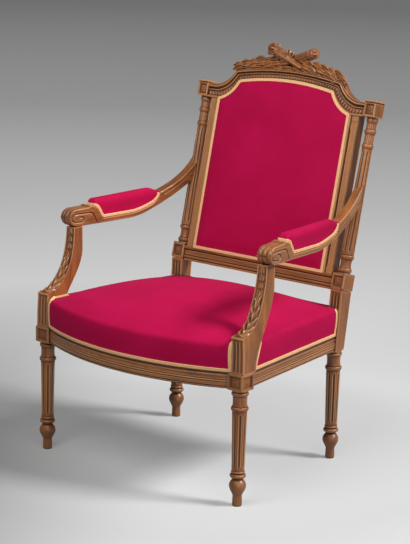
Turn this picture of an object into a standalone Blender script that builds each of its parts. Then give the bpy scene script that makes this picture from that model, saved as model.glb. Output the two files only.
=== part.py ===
"""Carved open armchair with a sprung seat, a padded back in a frame and padded arms.

Metres, +Z up. The front faces -Y, and left and right are as seen from in front.
The origin lies on the floor under the middle of the whole chair.
"""

import math

import bmesh
import bpy
from mathutils import Vector

# Clearances
FIT_GAP = 0.0003

# Plan of the four legs, as half widths and depths
FRONT_LEG_X = 0.315
FRONT_LEG_Y = -0.207
BACK_LEG_Y = 0.2425

# Turned legs
LEG_HEIGHT = 0.288
FOOT_DIAMETER = 0.0225
FOOT_HEIGHT = 0.030
BULB_DIAMETER = 0.040
BULB_HEIGHT = 0.036
NECK_DIAMETER = 0.020
LOWER_RING_DIAMETER = 0.0375
LOWER_RING_HEIGHT = 0.0195
SHAFT_BOTTOM_DIAMETER = 0.0265
SHAFT_TOP_DIAMETER = 0.0335
UPPER_RING_DIAMETER = 0.0415
UPPER_RING_HEIGHT = 0.0135
NECKING_HEIGHT = 0.024
CAP_RING_DIAMETER = 0.040
CAP_RING_HEIGHT = 0.013
TURNING_FILLET = 0.0015
TURNING_SIDES = 12

# Flutes cut down the leg shafts
FLUTE_COUNT = 10
FLUTE_RADIUS = 0.0028
FLUTE_MARGIN = 0.008

# Square blocks on the front legs, with a sunk panel for a rosette
BLOCK_SIDE = 0.046
BLOCK_HEIGHT = 0.040
BLOCK_PANEL = 0.027
PANEL_DEPTH = 0.0025

# Seat rails: show wood below, a thinner tacking edge above
RAIL_RISE = 0.002
SHOW_WOOD_HEIGHT = 0.038
TACKING_HEIGHT = 0.024
TACKING_STEP = 0.006
RAIL_THICKNESS = 0.030
RAIL_LEDGE = 0.002
RAIL_REED = 0.0025
FRONT_RAIL_SETBACK = 0.005
FRONT_BOW = 0.0705
BOW_STATIONS = 15
SIDE_RAIL_FRONT_INSET = 0.009
SIDE_RAIL_BACK_INSET = 0.004
BACK_RAIL_SETBACK = 0.005

# Tenons
TENON_LENGTH = 0.015
TENON_THICKNESS = 0.010
TENON_WIDTH = 0.016
TENON_SHOULDER = 0.006
FRONT_TENON_SETBACK = 0.009
BACK_TENON_SETBACK = 0.004
BACK_TENON_THICKNESS = 0.008
BACK_TENON_LENGTH = 0.012
SUPPORT_TENON = 0.012
SUPPORT_TENON_DEPTH = 0.012
SUPPORT_TENON_BACK = 0.006

# Back posts above the legs
POST_WIDTH = 0.036
POST_DEPTH = 0.036
POST_FLARE = 0.004
POST_HEIGHT = 0.2005
DADO_HEIGHT = 0.042
DADO_WIDTH = 0.039
DADO_DEPTH = 0.047
DADO_STEP = 0.001
BACK_PLANE_SET = 0.0014
BACK_RAKE = math.radians(12.8)
POST_SPLAY = 0.0062
DADO_OUT = 0.004
COLUMN_HEIGHT = 0.399
COLUMN_BOTTOM_DIAMETER = 0.032
COLUMN_TOP_DIAMETER = 0.025
COLUMN_DRUM_DIAMETER = 0.025
COLUMN_RING_DIAMETER = 0.0365
COLUMN_CAPITAL_DIAMETER = 0.0305
COLUMN_RING_HEIGHT = 0.011
BASE_RING_RISE = 0.003
BASE_DRUM_RISE = 0.037
CAPITAL_RING_DROP = 0.002
CAPITAL_DRUM_DROP = 0.031
NECK_RING_DROP = 0.068
TOP_BLOCK_WIDTH = 0.033
TOP_BLOCK_DEPTH = 0.043
TOP_BLOCK_HEIGHT = 0.039

# Padded back in its frame, measured along the raked plane from the dado top
FRAME_FRONT = 0.006
FRAME_THICKNESS = 0.028
OPENING_HALF_WIDTH = 0.212
OPENING_BOTTOM = -0.006
SHOULDER_DROP = 0.001
SHOULDER_HEIGHT = 0.069
SHOULDER_RUN = 0.062
OPENING_ARCH_RISE = 0.015
SHOULDER_SAGITTA = 0.008
SHOULDER_FILLET = 0.003
SHOULDER_STEPS = 5
ARCH_STEPS = 6
STILE_WIDTH = 0.028
STILE_GAP = 0.0055
BACK_RAIL_HEIGHT = 0.039
CREST_HEIGHT = 0.0215
CREST_ARCH_WIDEN = 0.020
CREST_END_HEIGHT = 0.0345
CREST_SHOULDER_OUT = 0.020
FRAME_BEAD = 0.003

# Carved crest: a torch and a quiver that cross over two sprays of laurel
CROSS_X = -0.005
CROSS_RISE = 0.031
TORCH_TILT = math.radians(25)
TORCH_DEPTH = 0.009
TORCH_TAIL_LENGTH = 0.070
TORCH_HEAD_LENGTH = 0.080
TORCH_TAIL_RADIUS = 0.0035
TORCH_WAIST_RADIUS = 0.0085
TORCH_BAND_RADIUS = 0.0145
FLAME_RADIUS = 0.0155
QUIVER_TILT = math.radians(15)
QUIVER_DEPTH = 0.020
QUIVER_TAIL_LENGTH = 0.030
QUIVER_HEAD_LENGTH = 0.080
QUIVER_TAIL_RADIUS = 0.007
QUIVER_BODY_RADIUS = 0.0125
QUIVER_BAND_RADIUS = 0.0145
CARVING_SIDES = 12
CREST_CUT_STEPS = 20
LAUREL_START = 0.048
LAUREL_OVERHANG = 0.016
LAUREL_HEIGHT = 0.038
LAUREL_TIP_HEIGHT = 0.012
LAUREL_THICKNESS = 0.016
LAUREL_DEPTH = 0.0225
LAUREL_LEAVES = 8
LAUREL_NOTCH = 0.006
LEAF_LEAN = 0.004

# Arm supports: the front edge, then the rear edge, as depth and height from the block's front top
SUPPORT_WIDTH = 0.038
SUPPORT_TOP_WIDTH = 0.032
SUPPORT_OUT = 0.0035
PLINTH_SETBACK = 0.0055
PLINTH_DEPTH = 0.052
PLINTH_HEIGHT = 0.082
LEDGE_HEIGHT = 0.006
LEDGE_OUT = 0.004
LEDGE_STEP = 0.001
SUPPORT_SWEEP = 0.096
SUPPORT_TOP_DEPTH = 0.030
SUPPORT_CURVE_STEPS = 9

# Arms
SUPPORT_HEIGHT = 0.247
SCROLL_RADIUS = 0.025
SCROLL_OVERHANG = 0.0115
HAND_LENGTH = 0.090
SHOULDER_LENGTH = 0.046
SHOULDER_RISE = 0.003
ARM_HAND_WIDTH = 0.042
ARM_REAR_WIDTH = 0.025
ARM_SEAT_THICKNESS = 0.0135
ARM_REAR_THICKNESS = 0.020
ARM_LEVEL_LENGTH = 0.079
ARM_SWEEP_POWER = 1.6
ARM_DRAW_POWER = 1.15
ARM_OUT_AT_POST = 0.004
ARM_SCRIBE = 0.012
ARM_RISE = 0.077
ARM_JOINT_HEIGHT = 0.062
ARM_CHAMFER = 0.004
ARM_TENON_WIDTH = 0.009
ARM_TENON_HEIGHT = 0.024
ARM_TENON_DEPTH = 0.012
ARM_TENON_ROOT = 0.008
SCROLL_ANGLES = (20, 45, 68, 90)
ARM_REAR_STEPS = 6

# Arm pads
PAD_HEIGHT = 0.054
PAD_BULGE = 0.0015
PAD_REAR_GAP = 0.120
PAD_END_STEP = 0.004
PAD_END_HEIGHT = 0.003
PAD_SHOULDER_STEPS = 5
PAD_STEPS = 6

# Seat upholstery
SEAT_WALL_HEIGHT = 0.050
SEAT_CROWN = 0.050
SEAT_SIDE_BULGE = 0.005
SEAT_EDGE_ROUND = 0.022
COVER_SETBACK = 0.001
COVER_THICKNESS = 0.0025
HESSIAN_THICKNESS = 0.0015
WADDING_ROOM = 0.002
SEAT_FRONT_STEPS = 10
SEAT_SIDE_STEPS = 7
SEAT_BACK_STEPS = 8
WEBBING_WIDTH = 0.050
WEBBING_THICKNESS = 0.0012
WEBBING_PITCH_X = 0.140
WEBBING_PITCH_Y = 0.126
WEBBING_INSET = 0.006
DUST_COVER_THICKNESS = 0.0008

# Springs between the webbing and the hessian
SPRING_ROWS = 3
SPRING_PITCH_X = 0.145
SPRING_PITCH_Y = 0.125
SPRING_MIDDLE_Y = -0.015
SPRING_DIAMETER = 0.084
SPRING_WAIST = 0.056
SPRING_TURNS = 4.5
SPRING_POINTS = 8
SPRING_WIRE = 0.0034

# Back upholstery
BACK_CROWN = 0.014
BACK_PAD_RIM = 0.0075
BACK_ROLL = 0.032
BACK_ROLL_CROWN = 0.0055
BACK_HESSIAN_SETBACK = 0.006
OUTSIDE_BACK_SETBACK = 0.003
BACK_SIDE_STEPS = 3

# Gimp braid over the edges of the cloth
GIMP_WIDTH = 0.010
GIMP_THICKNESS = 0.0022
GIMP_ON_WOOD = 0.003
GIMP_CLEARANCE = 0.001
ARM_GIMP_WIDTH = 0.008

# Corner braces
BRACE_HEIGHT = 0.036
BRACE_LAND = 0.036
BRACE_FROM_BLOCK = 0.020
BRACE_FROM_POST = 0.016
BRACE_RISE = 0.006

WALNUT = (0.20, 0.095, 0.042)
BEECH = (0.55, 0.40, 0.24)
CRIMSON = (0.42, 0.008, 0.065)
BRAID = (0.72, 0.43, 0.17)
JUTE = (0.42, 0.30, 0.17)
HORSEHAIR = (0.10, 0.07, 0.05)
STEEL = (0.45, 0.45, 0.46)

# Values that follow from those above
RAIL_BOTTOM = LEG_HEIGHT + RAIL_RISE
RAIL_SHOW_TOP = RAIL_BOTTOM + SHOW_WOOD_HEIGHT
RAIL_TOP = RAIL_SHOW_TOP + TACKING_HEIGHT
SEAT_EDGE = RAIL_TOP + SEAT_WALL_HEIGHT
BLOCK_TOP = LEG_HEIGHT + BLOCK_HEIGHT
BLOCK_FRONT_Y = FRONT_LEG_Y - BLOCK_SIDE / 2
BLOCK_INNER_X = FRONT_LEG_X - BLOCK_SIDE / 2
SHAFT_BOTTOM = FOOT_HEIGHT + BULB_HEIGHT + LOWER_RING_HEIGHT + 3 * TURNING_FILLET
SHAFT_TOP = LEG_HEIGHT - CAP_RING_HEIGHT - NECKING_HEIGHT - UPPER_RING_HEIGHT - 2 * TURNING_FILLET
BOW_HALF_CHORD = BLOCK_INNER_X
BOW_END_Y = BLOCK_FRONT_Y + FRONT_RAIL_SETBACK
BOW_RADIUS = (BOW_HALF_CHORD ** 2 + FRONT_BOW ** 2) / (2 * FRONT_BOW)
BOW_CENTRE_Y = BOW_END_Y - FRONT_BOW + BOW_RADIUS
STILE_OUTER = OPENING_HALF_WIDTH + STILE_WIDTH
DADO_X = STILE_OUTER + STILE_GAP + DADO_WIDTH / 2
BACK_LEG_X = DADO_X - DADO_OUT
SIDE_FRONT = (FRONT_LEG_X + BLOCK_SIDE / 2 - SIDE_RAIL_FRONT_INSET, FRONT_LEG_Y + BLOCK_SIDE / 2)
SIDE_BACK = (BACK_LEG_X + POST_WIDTH / 2 - SIDE_RAIL_BACK_INSET, BACK_LEG_Y - POST_DEPTH / 2)
SIDE_SLOPE = (SIDE_BACK[0] - SIDE_FRONT[0]) / (SIDE_BACK[1] - SIDE_FRONT[1])
SIDE_STRETCH = math.hypot(1.0, SIDE_SLOPE)
BACK_RAIL_REAR = BACK_LEG_Y + POST_DEPTH / 2 - BACK_RAIL_SETBACK
DADO_TOP = LEG_HEIGHT + POST_HEIGHT
BACK_PLANE_Y = BACK_LEG_Y + BACK_PLANE_SET
COLUMN_DEPTH = DADO_DEPTH / 2
COLUMN_RINGS_BELOW = (BASE_RING_RISE, BASE_DRUM_RISE)
COLUMN_RINGS_ABOVE = (CAPITAL_RING_DROP, CAPITAL_DRUM_DROP, NECK_RING_DROP)
FRAME_REAR = FRAME_FRONT + FRAME_THICKNESS
OPENING_SHOULDER = COLUMN_HEIGHT - SHOULDER_DROP
OPENING_TOP = OPENING_SHOULDER + SHOULDER_HEIGHT
OPENING_ARCH_HALF_WIDTH = OPENING_HALF_WIDTH - SHOULDER_RUN
OPENING_ARCH_END = OPENING_TOP - OPENING_ARCH_RISE
CREST_ARCH_HALF_WIDTH = OPENING_ARCH_HALF_WIDTH + CREST_ARCH_WIDEN
LAUREL_END = CREST_ARCH_HALF_WIDTH + LAUREL_OVERHANG
CREST_TOP = OPENING_TOP + CREST_HEIGHT
CREST_ARCH_END = OPENING_ARCH_END + CREST_HEIGHT
CREST_END_TOP = OPENING_SHOULDER + CREST_END_HEIGHT
SUPPORT_X = FRONT_LEG_X + SUPPORT_OUT
PLINTH_FRONT = BLOCK_FRONT_Y + PLINTH_SETBACK
PLINTH_TOP = BLOCK_TOP + PLINTH_HEIGHT
SUPPORT_TOP_Y = PLINTH_FRONT + SUPPORT_SWEEP
ARM_UNDERSIDE = BLOCK_TOP + SUPPORT_HEIGHT
ARM_JOINT_LOW = ARM_UNDERSIDE + ARM_RISE
ARM_JOINT_HIGH = ARM_JOINT_LOW + ARM_JOINT_HEIGHT
SCROLL_FRONT_Y = SUPPORT_TOP_Y - SCROLL_OVERHANG
HAND_END_Y = SCROLL_FRONT_Y + HAND_LENGTH
PAD_SEAT_Y = HAND_END_Y + SHOULDER_LENGTH
ARM_SWEEP_START = PAD_SEAT_Y + ARM_LEVEL_LENGTH
ARM_HAND_TOP = ARM_UNDERSIDE + 2 * SCROLL_RADIUS
ARM_SEAT = ARM_UNDERSIDE + ARM_SEAT_THICKNESS
COVER_BOTTOM = RAIL_SHOW_TOP + FIT_GAP
WEBBING_TOP = RAIL_BOTTOM - FIT_GAP
SEAT_BACK_Y = BACK_RAIL_REAR - COVER_SETBACK
SEAT_CORNER = SEAT_FRONT_STEPS + 4
WALL_LEVELS = (0.4, 0.65, 0.82, 0.93, 1.0)


def column_x(v):
    """Half distance between the column axes at a height along the raked plane."""
    return DADO_X + POST_SPLAY * v / COLUMN_HEIGHT


def raked(x, depth, v):
    """Point behind the front plane of the back, at a height along that plane."""
    y = BACK_PLANE_Y + depth * math.cos(BACK_RAKE) + v * math.sin(BACK_RAKE)
    z = DADO_TOP - depth * math.sin(BACK_RAKE) + v * math.cos(BACK_RAKE)
    return Vector((x, y, z))


def raked_v_at(z, depth):
    """Height along the raked plane of a point at a level and a depth."""
    return (z - DADO_TOP + depth * math.sin(BACK_RAKE)) / math.cos(BACK_RAKE)


def bow_y(x, inset=0.0):
    """Front line of the bowed rail, moved in by an inset."""
    return BOW_CENTRE_Y - math.sqrt((BOW_RADIUS - inset) ** 2 - x * x)


def bow_stretch(x):
    """How much longer the bowed rail's thickness is along the chair than square to the bow."""
    return BOW_RADIUS / math.sqrt(BOW_RADIUS ** 2 - x * x)


def bow_stations():
    """Distances from the middle at which the bowed rail has a section."""
    end = BLOCK_INNER_X - FIT_GAP
    return [end * (2 * k / (BOW_STATIONS - 1) - 1) for k in range(BOW_STATIONS)]


def line_at(points, x):
    """Second value at a first one, on a line through points in rising order."""
    for (low, first), (high, second) in zip(points, points[1:]):
        if x <= high:
            return mix(first, second, (x - low) / (high - low))
    return points[-1][1]


def side_x(y, inset=0.0):
    """Outer line of a side rail, moved in by an inset."""
    return SIDE_FRONT[0] + SIDE_SLOPE * (y - SIDE_FRONT[1]) - inset * SIDE_STRETCH


def post_front_y(z):
    """Front face of the square post between the leg and the dado."""
    low = BACK_LEG_Y - POST_DEPTH / 2
    high = raked(0.0, 0.0, -DADO_HEIGHT)
    share = (z - LEG_HEIGHT) / (high.z - LEG_HEIGHT)
    return low + (high.y - low) * share


def mix(a, b, share):
    """Value between two others."""
    return a + (b - a) * share


def ease(share):
    """Smooth step from 0 to 1."""
    share = min(max(share, 0.0), 1.0)
    return share * share * (3.0 - 2.0 * share)


def loft(rings, loop=False):
    """Skin over rings of points, with end caps or joined up in a loop."""
    bm = bmesh.new()
    add_loft(bm, rings, loop)
    return bm


def add_loft(bm, rings, loop=False):
    """Add one skinned body to a mesh that may hold others."""
    rows = [[bm.verts.new(point) for point in ring] for ring in rings]
    count = len(rows[0])
    pairs = list(zip(rows, rows[1:]))
    if loop:
        pairs.append((rows[-1], rows[0]))
    for lower, upper in pairs:
        for k in range(count):
            after = (k + 1) % count
            bm.faces.new((lower[k], lower[after], upper[after], upper[k]))
    if not loop:
        bm.faces.new(list(reversed(rows[0])))
        bm.faces.new(rows[-1])


def box(low, high):
    """Box between two corners."""
    corners = [(low[0], low[1]), (high[0], low[1]), (high[0], high[1]), (low[0], high[1])]
    return loft([[(x, y, z) for x, y in corners] for z in (low[2], high[2])])


def link(name, bm, parent):
    """Turn a mesh into an object with its faces pointing out."""
    bmesh.ops.recalc_face_normals(bm, faces=bm.faces)
    mesh = bpy.data.meshes.new(name)
    bm.to_mesh(mesh)
    bm.free()
    piece = bpy.data.objects.new(name, mesh)
    bpy.context.scene.collection.objects.link(piece)
    piece.parent = parent
    return piece


def finish(piece, colour, roughness, metallic=0.0):
    """Give a piece its own material."""
    material = bpy.data.materials.new(piece.name)
    material.use_nodes = True
    shader = material.node_tree.nodes["Principled BSDF"]
    shader.inputs["Base Color"].default_value = (*colour, 1.0)
    shader.inputs["Roughness"].default_value = roughness
    shader.inputs["Metallic"].default_value = metallic
    piece.data.materials.append(material)
    piece.data.shade_smooth()
    piece.data.set_sharp_from_angle(angle=math.radians(35))
    return piece


def wood(name, bm, parent):
    """Waxed walnut piece."""
    return finish(link(name, bm, parent), WALNUT, 0.35)


def cloth(name, bm, parent):
    """Crimson cloth piece."""
    return finish(link(name, bm, parent), CRIMSON, 0.85)


def braid(name, bm, parent):
    """Gold gimp braid."""
    return finish(link(name, bm, parent), BRAID, 0.65)


def combine(piece, bm, operation, parent):
    """Cut a hidden shape out of a piece, or join it on."""
    tool = link(piece.name + "_" + operation.lower(), bm, parent)
    tool.hide_render = True
    tool.display_type = "WIRE"
    modifier = piece.modifiers.new(operation.title(), "BOOLEAN")
    modifier.operation = operation
    modifier.object = tool


def tenon(piece, mate, low, high, parent):
    """Join a tenon on to a piece and cut its mortise in the mate."""
    combine(piece, box(low, high), "UNION", parent)
    loose_low = [value - FIT_GAP for value in low]
    loose_high = [value + FIT_GAP for value in high]
    combine(mate, box(loose_low, loose_high), "DIFFERENCE", parent)


def mirrored_box(sign, low, high):
    """Corners of a box on the left or right of the chair."""
    if sign > 0:
        return low, high
    return (-high[0], low[1], low[2]), (-low[0], high[1], high[2])


def ring_points(place, half_x, half_y, square):
    """Ring of points, round or square, with a corner of the square first."""
    points = []
    corners = [(-1, -1), (1, -1), (1, 1), (-1, 1), (-1, -1)]
    per_side = TURNING_SIDES // 4
    for k in range(TURNING_SIDES):
        if square:
            start, end = corners[k // per_side], corners[k // per_side + 1]
            share = (k % per_side) / per_side
            dx, dy = mix(start[0], end[0], share), mix(start[1], end[1], share)
        else:
            angle = math.radians(-135) + 2 * math.pi * k / TURNING_SIDES
            dx, dy = math.cos(angle), math.sin(angle)
        points.append(place(dx * half_x, dy * half_y))
    return points


def bead(bottom, height, core_radius, outer_radius):
    """Turned ring: the core, a round swell and the core again."""
    swell = 0.25 * height
    return [(core_radius, bottom), (outer_radius, bottom + swell),
            (outer_radius, bottom + height - swell), (core_radius, bottom + height)]


def leg_profile():
    """Radius and height up the turned leg, from the floor to the block."""
    foot = FOOT_DIAMETER / 2
    neck = NECK_DIAMETER / 2
    profile = [(0.95 * foot, 0.0), (foot, 0.1 * FOOT_HEIGHT), (0.94 * foot, 0.8 * FOOT_HEIGHT)]
    for step in range(1, 6):
        swell = math.sin(math.pi * step / 6)
        radius = mix(neck, BULB_DIAMETER / 2, swell)
        profile.append((radius, FOOT_HEIGHT + BULB_HEIGHT * step / 6))
    neck_z = FOOT_HEIGHT + BULB_HEIGHT + TURNING_FILLET
    profile.append((neck, neck_z))
    lower_core = SHAFT_BOTTOM_DIAMETER / 2
    upper_core = SHAFT_TOP_DIAMETER / 2
    profile += bead(neck_z + TURNING_FILLET, LOWER_RING_HEIGHT, lower_core, LOWER_RING_DIAMETER / 2)
    profile += [(lower_core, SHAFT_BOTTOM), (upper_core, SHAFT_TOP)]
    profile += bead(SHAFT_TOP + TURNING_FILLET, UPPER_RING_HEIGHT, upper_core, UPPER_RING_DIAMETER / 2)
    cap_z = LEG_HEIGHT - CAP_RING_HEIGHT - TURNING_FILLET
    profile += bead(cap_z, CAP_RING_HEIGHT, upper_core, CAP_RING_DIAMETER / 2)
    profile.append((upper_core, LEG_HEIGHT))
    return profile


def leg_rings(sign, x, y):
    """Rings of a turned leg standing at a place in plan."""
    rings = []
    for radius, z in leg_profile():
        rings.append(ring_points(lambda dx, dy: Vector((sign * (x + dx), y + dy, z)),
                                 radius, radius, False))
    return rings


def flutes(sign, x, y):
    """Cutter for the flutes round a leg shaft, with tapered ends."""
    bm = bmesh.new()
    bottom = SHAFT_BOTTOM + FLUTE_MARGIN
    top = SHAFT_TOP - FLUTE_MARGIN
    end = 2 * FLUTE_RADIUS
    levels = ((bottom, 0.3), (bottom + end, 1.0), (top - end, 1.0), (top, 0.3))
    for k in range(FLUTE_COUNT):
        angle = 2 * math.pi * (k + 0.5) / FLUTE_COUNT
        rings = []
        for z, swell in levels:
            share = (z - SHAFT_BOTTOM) / (SHAFT_TOP - SHAFT_BOTTOM)
            shaft = mix(SHAFT_BOTTOM_DIAMETER, SHAFT_TOP_DIAMETER, share) / 2
            ring = []
            for side in range(6):
                turn = angle + math.pi * side / 3
                px = shaft * math.cos(angle) + swell * FLUTE_RADIUS * math.cos(turn)
                py = shaft * math.sin(angle) + swell * FLUTE_RADIUS * math.sin(turn)
                ring.append((sign * (x + px), y + py, z))
            rings.append(ring)
        add_loft(bm, rings)
    return bm


def build_front_leg(side, sign, root):
    """Turned leg with a square block, sunk panels on its two outer faces and flutes."""
    rings = leg_rings(sign, FRONT_LEG_X, FRONT_LEG_Y)
    half = BLOCK_SIDE / 2
    for z in (LEG_HEIGHT, BLOCK_TOP):
        rings.append(ring_points(lambda dx, dy: Vector((sign * (FRONT_LEG_X + dx), FRONT_LEG_Y + dy, z)),
                                 half, half, True))
    leg = wood(f"front_leg_{side}", loft(rings), root)
    combine(leg, flutes(sign, FRONT_LEG_X, FRONT_LEG_Y), "DIFFERENCE", root)
    panel = BLOCK_PANEL / 2
    middle = LEG_HEIGHT + BLOCK_HEIGHT / 2
    low = (FRONT_LEG_X - panel, BLOCK_FRONT_Y - PANEL_DEPTH, middle - panel)
    high = (FRONT_LEG_X + panel, BLOCK_FRONT_Y + PANEL_DEPTH, middle + panel)
    combine(leg, box(*mirrored_box(sign, low, high)), "DIFFERENCE", root)
    outer = FRONT_LEG_X + half
    low = (outer - PANEL_DEPTH, FRONT_LEG_Y - panel, middle - panel)
    high = (outer + PANEL_DEPTH, FRONT_LEG_Y + panel, middle + panel)
    combine(leg, box(*mirrored_box(sign, low, high)), "DIFFERENCE", root)
    return leg


def column_profile():
    """Radius and height up the turned column between the dado and the top block."""
    drum = COLUMN_DRUM_DIAMETER / 2
    base_core = mix(drum, COLUMN_BOTTOM_DIAMETER / 2, 0.6)
    rings_above = [COLUMN_HEIGHT - below - COLUMN_RING_HEIGHT for below in COLUMN_RINGS_ABOVE]
    profile = []
    for v in COLUMN_RINGS_BELOW:
        profile += bead(v, COLUMN_RING_HEIGHT, base_core, COLUMN_RING_DIAMETER / 2)
    shaft_low = COLUMN_RINGS_BELOW[-1] + COLUMN_RING_HEIGHT + TURNING_FILLET
    shaft_high = rings_above[-1] - TURNING_FILLET
    profile.append((COLUMN_BOTTOM_DIAMETER / 2, shaft_low))
    profile.append((COLUMN_TOP_DIAMETER / 2, shaft_high))
    for v in reversed(rings_above):
        profile += bead(v, COLUMN_RING_HEIGHT, drum, COLUMN_CAPITAL_DIAMETER / 2)
    return profile, shaft_low, shaft_high


def column_ring(sign, radius, v):
    """Ring round the column's raked axis."""
    return ring_points(lambda dx, dy: raked(sign * (column_x(v) + dx), COLUMN_DEPTH + dy, v),
                       radius, radius, False)


def post_rings(sign, grow):
    """Square rings of the post from the leg to the top of the dado."""
    half_width = POST_WIDTH / 2 + grow
    half_depth = POST_DEPTH / 2 + grow
    rings = [ring_points(lambda dx, dy: Vector((sign * (BACK_LEG_X + dx), BACK_LEG_Y + dy, LEG_HEIGHT)),
                         half_width, half_depth, True)]
    levels = ((-DADO_HEIGHT - DADO_STEP, half_width, POST_DEPTH / 2 + POST_FLARE + grow),
              (-DADO_HEIGHT, DADO_WIDTH / 2 + grow, DADO_DEPTH / 2 + grow),
              (0.0, DADO_WIDTH / 2 + grow, DADO_DEPTH / 2 + grow))
    for v, half_x, half_y in levels:
        rings.append(ring_points(lambda dx, dy: raked(sign * (column_x(v) + dx), COLUMN_DEPTH + dy, v),
                                 half_x, half_y, True))
    return rings


def build_back_post(side, sign, root):
    """Rear leg, square post, dado, turned column and top block in one length of wood."""
    rings = leg_rings(sign, BACK_LEG_X, BACK_LEG_Y)
    rings += post_rings(sign, 0.0)
    profile, _, _ = column_profile()
    rings.append(column_ring(sign, profile[0][0], TURNING_FILLET))
    for radius, v in profile:
        rings.append(column_ring(sign, radius, v))
    for v in (COLUMN_HEIGHT, COLUMN_HEIGHT + TOP_BLOCK_HEIGHT):
        rings.append(ring_points(
            lambda dx, dy: raked(sign * (column_x(v) + dx), TOP_BLOCK_DEPTH / 2 + dy, v),
            TOP_BLOCK_WIDTH / 2, TOP_BLOCK_DEPTH / 2, True))
    post = wood(f"back_post_{side}", loft(rings), root)
    combine(post, flutes(sign, BACK_LEG_X, BACK_LEG_Y), "DIFFERENCE", root)
    return post


def rail_section():
    """Outward step and height round a seat rail: reeded show wood and the tacking edge."""
    step = SHOW_WOOD_HEIGHT / 4
    low = RAIL_BOTTOM
    return [(-RAIL_THICKNESS, low), (-RAIL_REED, low), (0.0, low + 0.3 * step), (0.0, low + step),
            (-RAIL_REED, low + 1.3 * step), (-RAIL_REED, low + 2.6 * step), (0.0, low + 2.9 * step),
            (RAIL_LEDGE, low + 3.3 * step), (RAIL_LEDGE, RAIL_SHOW_TOP),
            (-TACKING_STEP, RAIL_SHOW_TOP), (-TACKING_STEP, RAIL_TOP), (-RAIL_THICKNESS, RAIL_TOP)]


def build_front_rail(root):
    """Bowed rail between the two front leg blocks."""
    rings = []
    for x in bow_stations():
        rings.append([(x, bow_y(x) - out * bow_stretch(x), z) for out, z in rail_section()])
    return wood("front_seat_rail", loft(rings), root)


def build_side_rail(side, sign, root):
    """Straight rail from the front block to the back post."""
    front = FRONT_LEG_Y + BLOCK_SIDE / 2 + FIT_GAP
    rings = []
    for end in (0, 1):
        ring = []
        for out, z in rail_section():
            y = front if end == 0 else post_front_y(z) - FIT_GAP
            ring.append((sign * (side_x(y) + out * SIDE_STRETCH), y, z))
        rings.append(ring)
    return wood(f"side_seat_rail_{side}", loft(rings), root)


def build_back_rail(root):
    """Straight rail between the back posts."""
    end = BACK_LEG_X - POST_WIDTH / 2 - FIT_GAP
    slope = (DADO_X - BACK_LEG_X) / (DADO_TOP - LEG_HEIGHT)
    rings = []
    for sign in (-1, 1):
        ring = []
        for out, z in rail_section():
            lean = max(0.0, slope * (z - LEG_HEIGHT))
            ring.append((sign * (end + lean * 0.5), BACK_RAIL_REAR + out, z))
        rings.append(ring)
    return wood("back_seat_rail", loft(rings), root)


def join_seat_frame(legs, posts, front_rail, side_rails, back_rail, root):
    """Mortise and tenon joints of the four seat rails."""
    bottom = RAIL_BOTTOM + TENON_SHOULDER
    top = bottom + TENON_WIDTH
    for side, sign in SIDES:
        front_y = bow_y(BLOCK_INNER_X) + FRONT_TENON_SETBACK
        low = (BLOCK_INNER_X - TENON_SHOULDER, front_y, bottom)
        high = (BLOCK_INNER_X + TENON_LENGTH, front_y + TENON_THICKNESS, top)
        tenon(front_rail, legs[side], *mirrored_box(sign, low, high), root)
        joint_y = FRONT_LEG_Y + BLOCK_SIDE / 2
        outer_x = side_x(joint_y) - TENON_SHOULDER
        low = (outer_x - TENON_THICKNESS, joint_y - TENON_LENGTH, bottom)
        high = (outer_x, joint_y + 2 * TENON_SHOULDER, top)
        tenon(side_rails[side], legs[side], *mirrored_box(sign, low, high), root)
        joint_y = post_front_y(bottom)
        outer_x = side_x(joint_y) - TENON_SHOULDER
        low = (outer_x - TENON_THICKNESS, joint_y - 2 * TENON_SHOULDER, bottom)
        high = (outer_x, joint_y + TENON_LENGTH, top)
        tenon(side_rails[side], posts[side], *mirrored_box(sign, low, high), root)
        joint_x = BACK_LEG_X - POST_WIDTH / 2
        rear_y = BACK_RAIL_REAR - BACK_TENON_SETBACK
        low = (joint_x - 2 * TENON_SHOULDER, rear_y - BACK_TENON_THICKNESS, bottom)
        high = (joint_x + BACK_TENON_LENGTH, rear_y, top)
        tenon(back_rail, posts[side], *mirrored_box(sign, low, high), root)


def support_edges():
    """Front and rear points of the arm support's side view, from its foot to its top."""
    top = ARM_UNDERSIDE - FIT_GAP
    foot = BLOCK_TOP + FIT_GAP
    rear_foot = PLINTH_FRONT + PLINTH_DEPTH
    rear_top = SUPPORT_TOP_Y + SUPPORT_TOP_DEPTH
    ledge = PLINTH_TOP + LEDGE_HEIGHT
    front = [(PLINTH_FRONT, foot), (PLINTH_FRONT, PLINTH_TOP), (PLINTH_FRONT, ledge)]
    shares = [(z - foot) / (top - foot) for _, z in front]
    for step in range(SUPPORT_CURVE_STEPS):
        angle = math.radians(90) * step / (SUPPORT_CURVE_STEPS - 1)
        y = mix(PLINTH_FRONT + LEDGE_OUT, SUPPORT_TOP_Y, math.sin(angle))
        front.append((y, mix(top, ledge + LEDGE_STEP, math.cos(angle))))
        shares.append(mix(shares[2], 1.0, (step + 1) / SUPPORT_CURVE_STEPS))
    rear = []
    for share in shares:
        swing = math.sin(math.radians(90) * share)
        rear.append((mix(rear_foot, rear_top, swing), mix(foot, top, share)))
    return front, rear


def support_rings(sign, grow):
    """Rectangular rings up the arm support."""
    front, rear = support_edges()
    top_x = arm_middle(SUPPORT_TOP_Y)
    foot, top = front[0][1], front[-1][1]
    rings = []
    for (front_y, front_z), (rear_y, rear_z) in zip(front, rear):
        ring = []
        corners = ((front_y - grow, front_z, -1), (front_y - grow, front_z, 1),
                   (rear_y + grow, rear_z, 1), (rear_y + grow, rear_z, -1))
        for y, z, across in corners:
            share = (z - foot) / (top - foot)
            half = mix(SUPPORT_WIDTH, SUPPORT_TOP_WIDTH, share) / 2 + grow
            ring.append((sign * (mix(SUPPORT_X, top_x, share) + across * half), y, z))
        rings.append(ring)
    return rings


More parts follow.
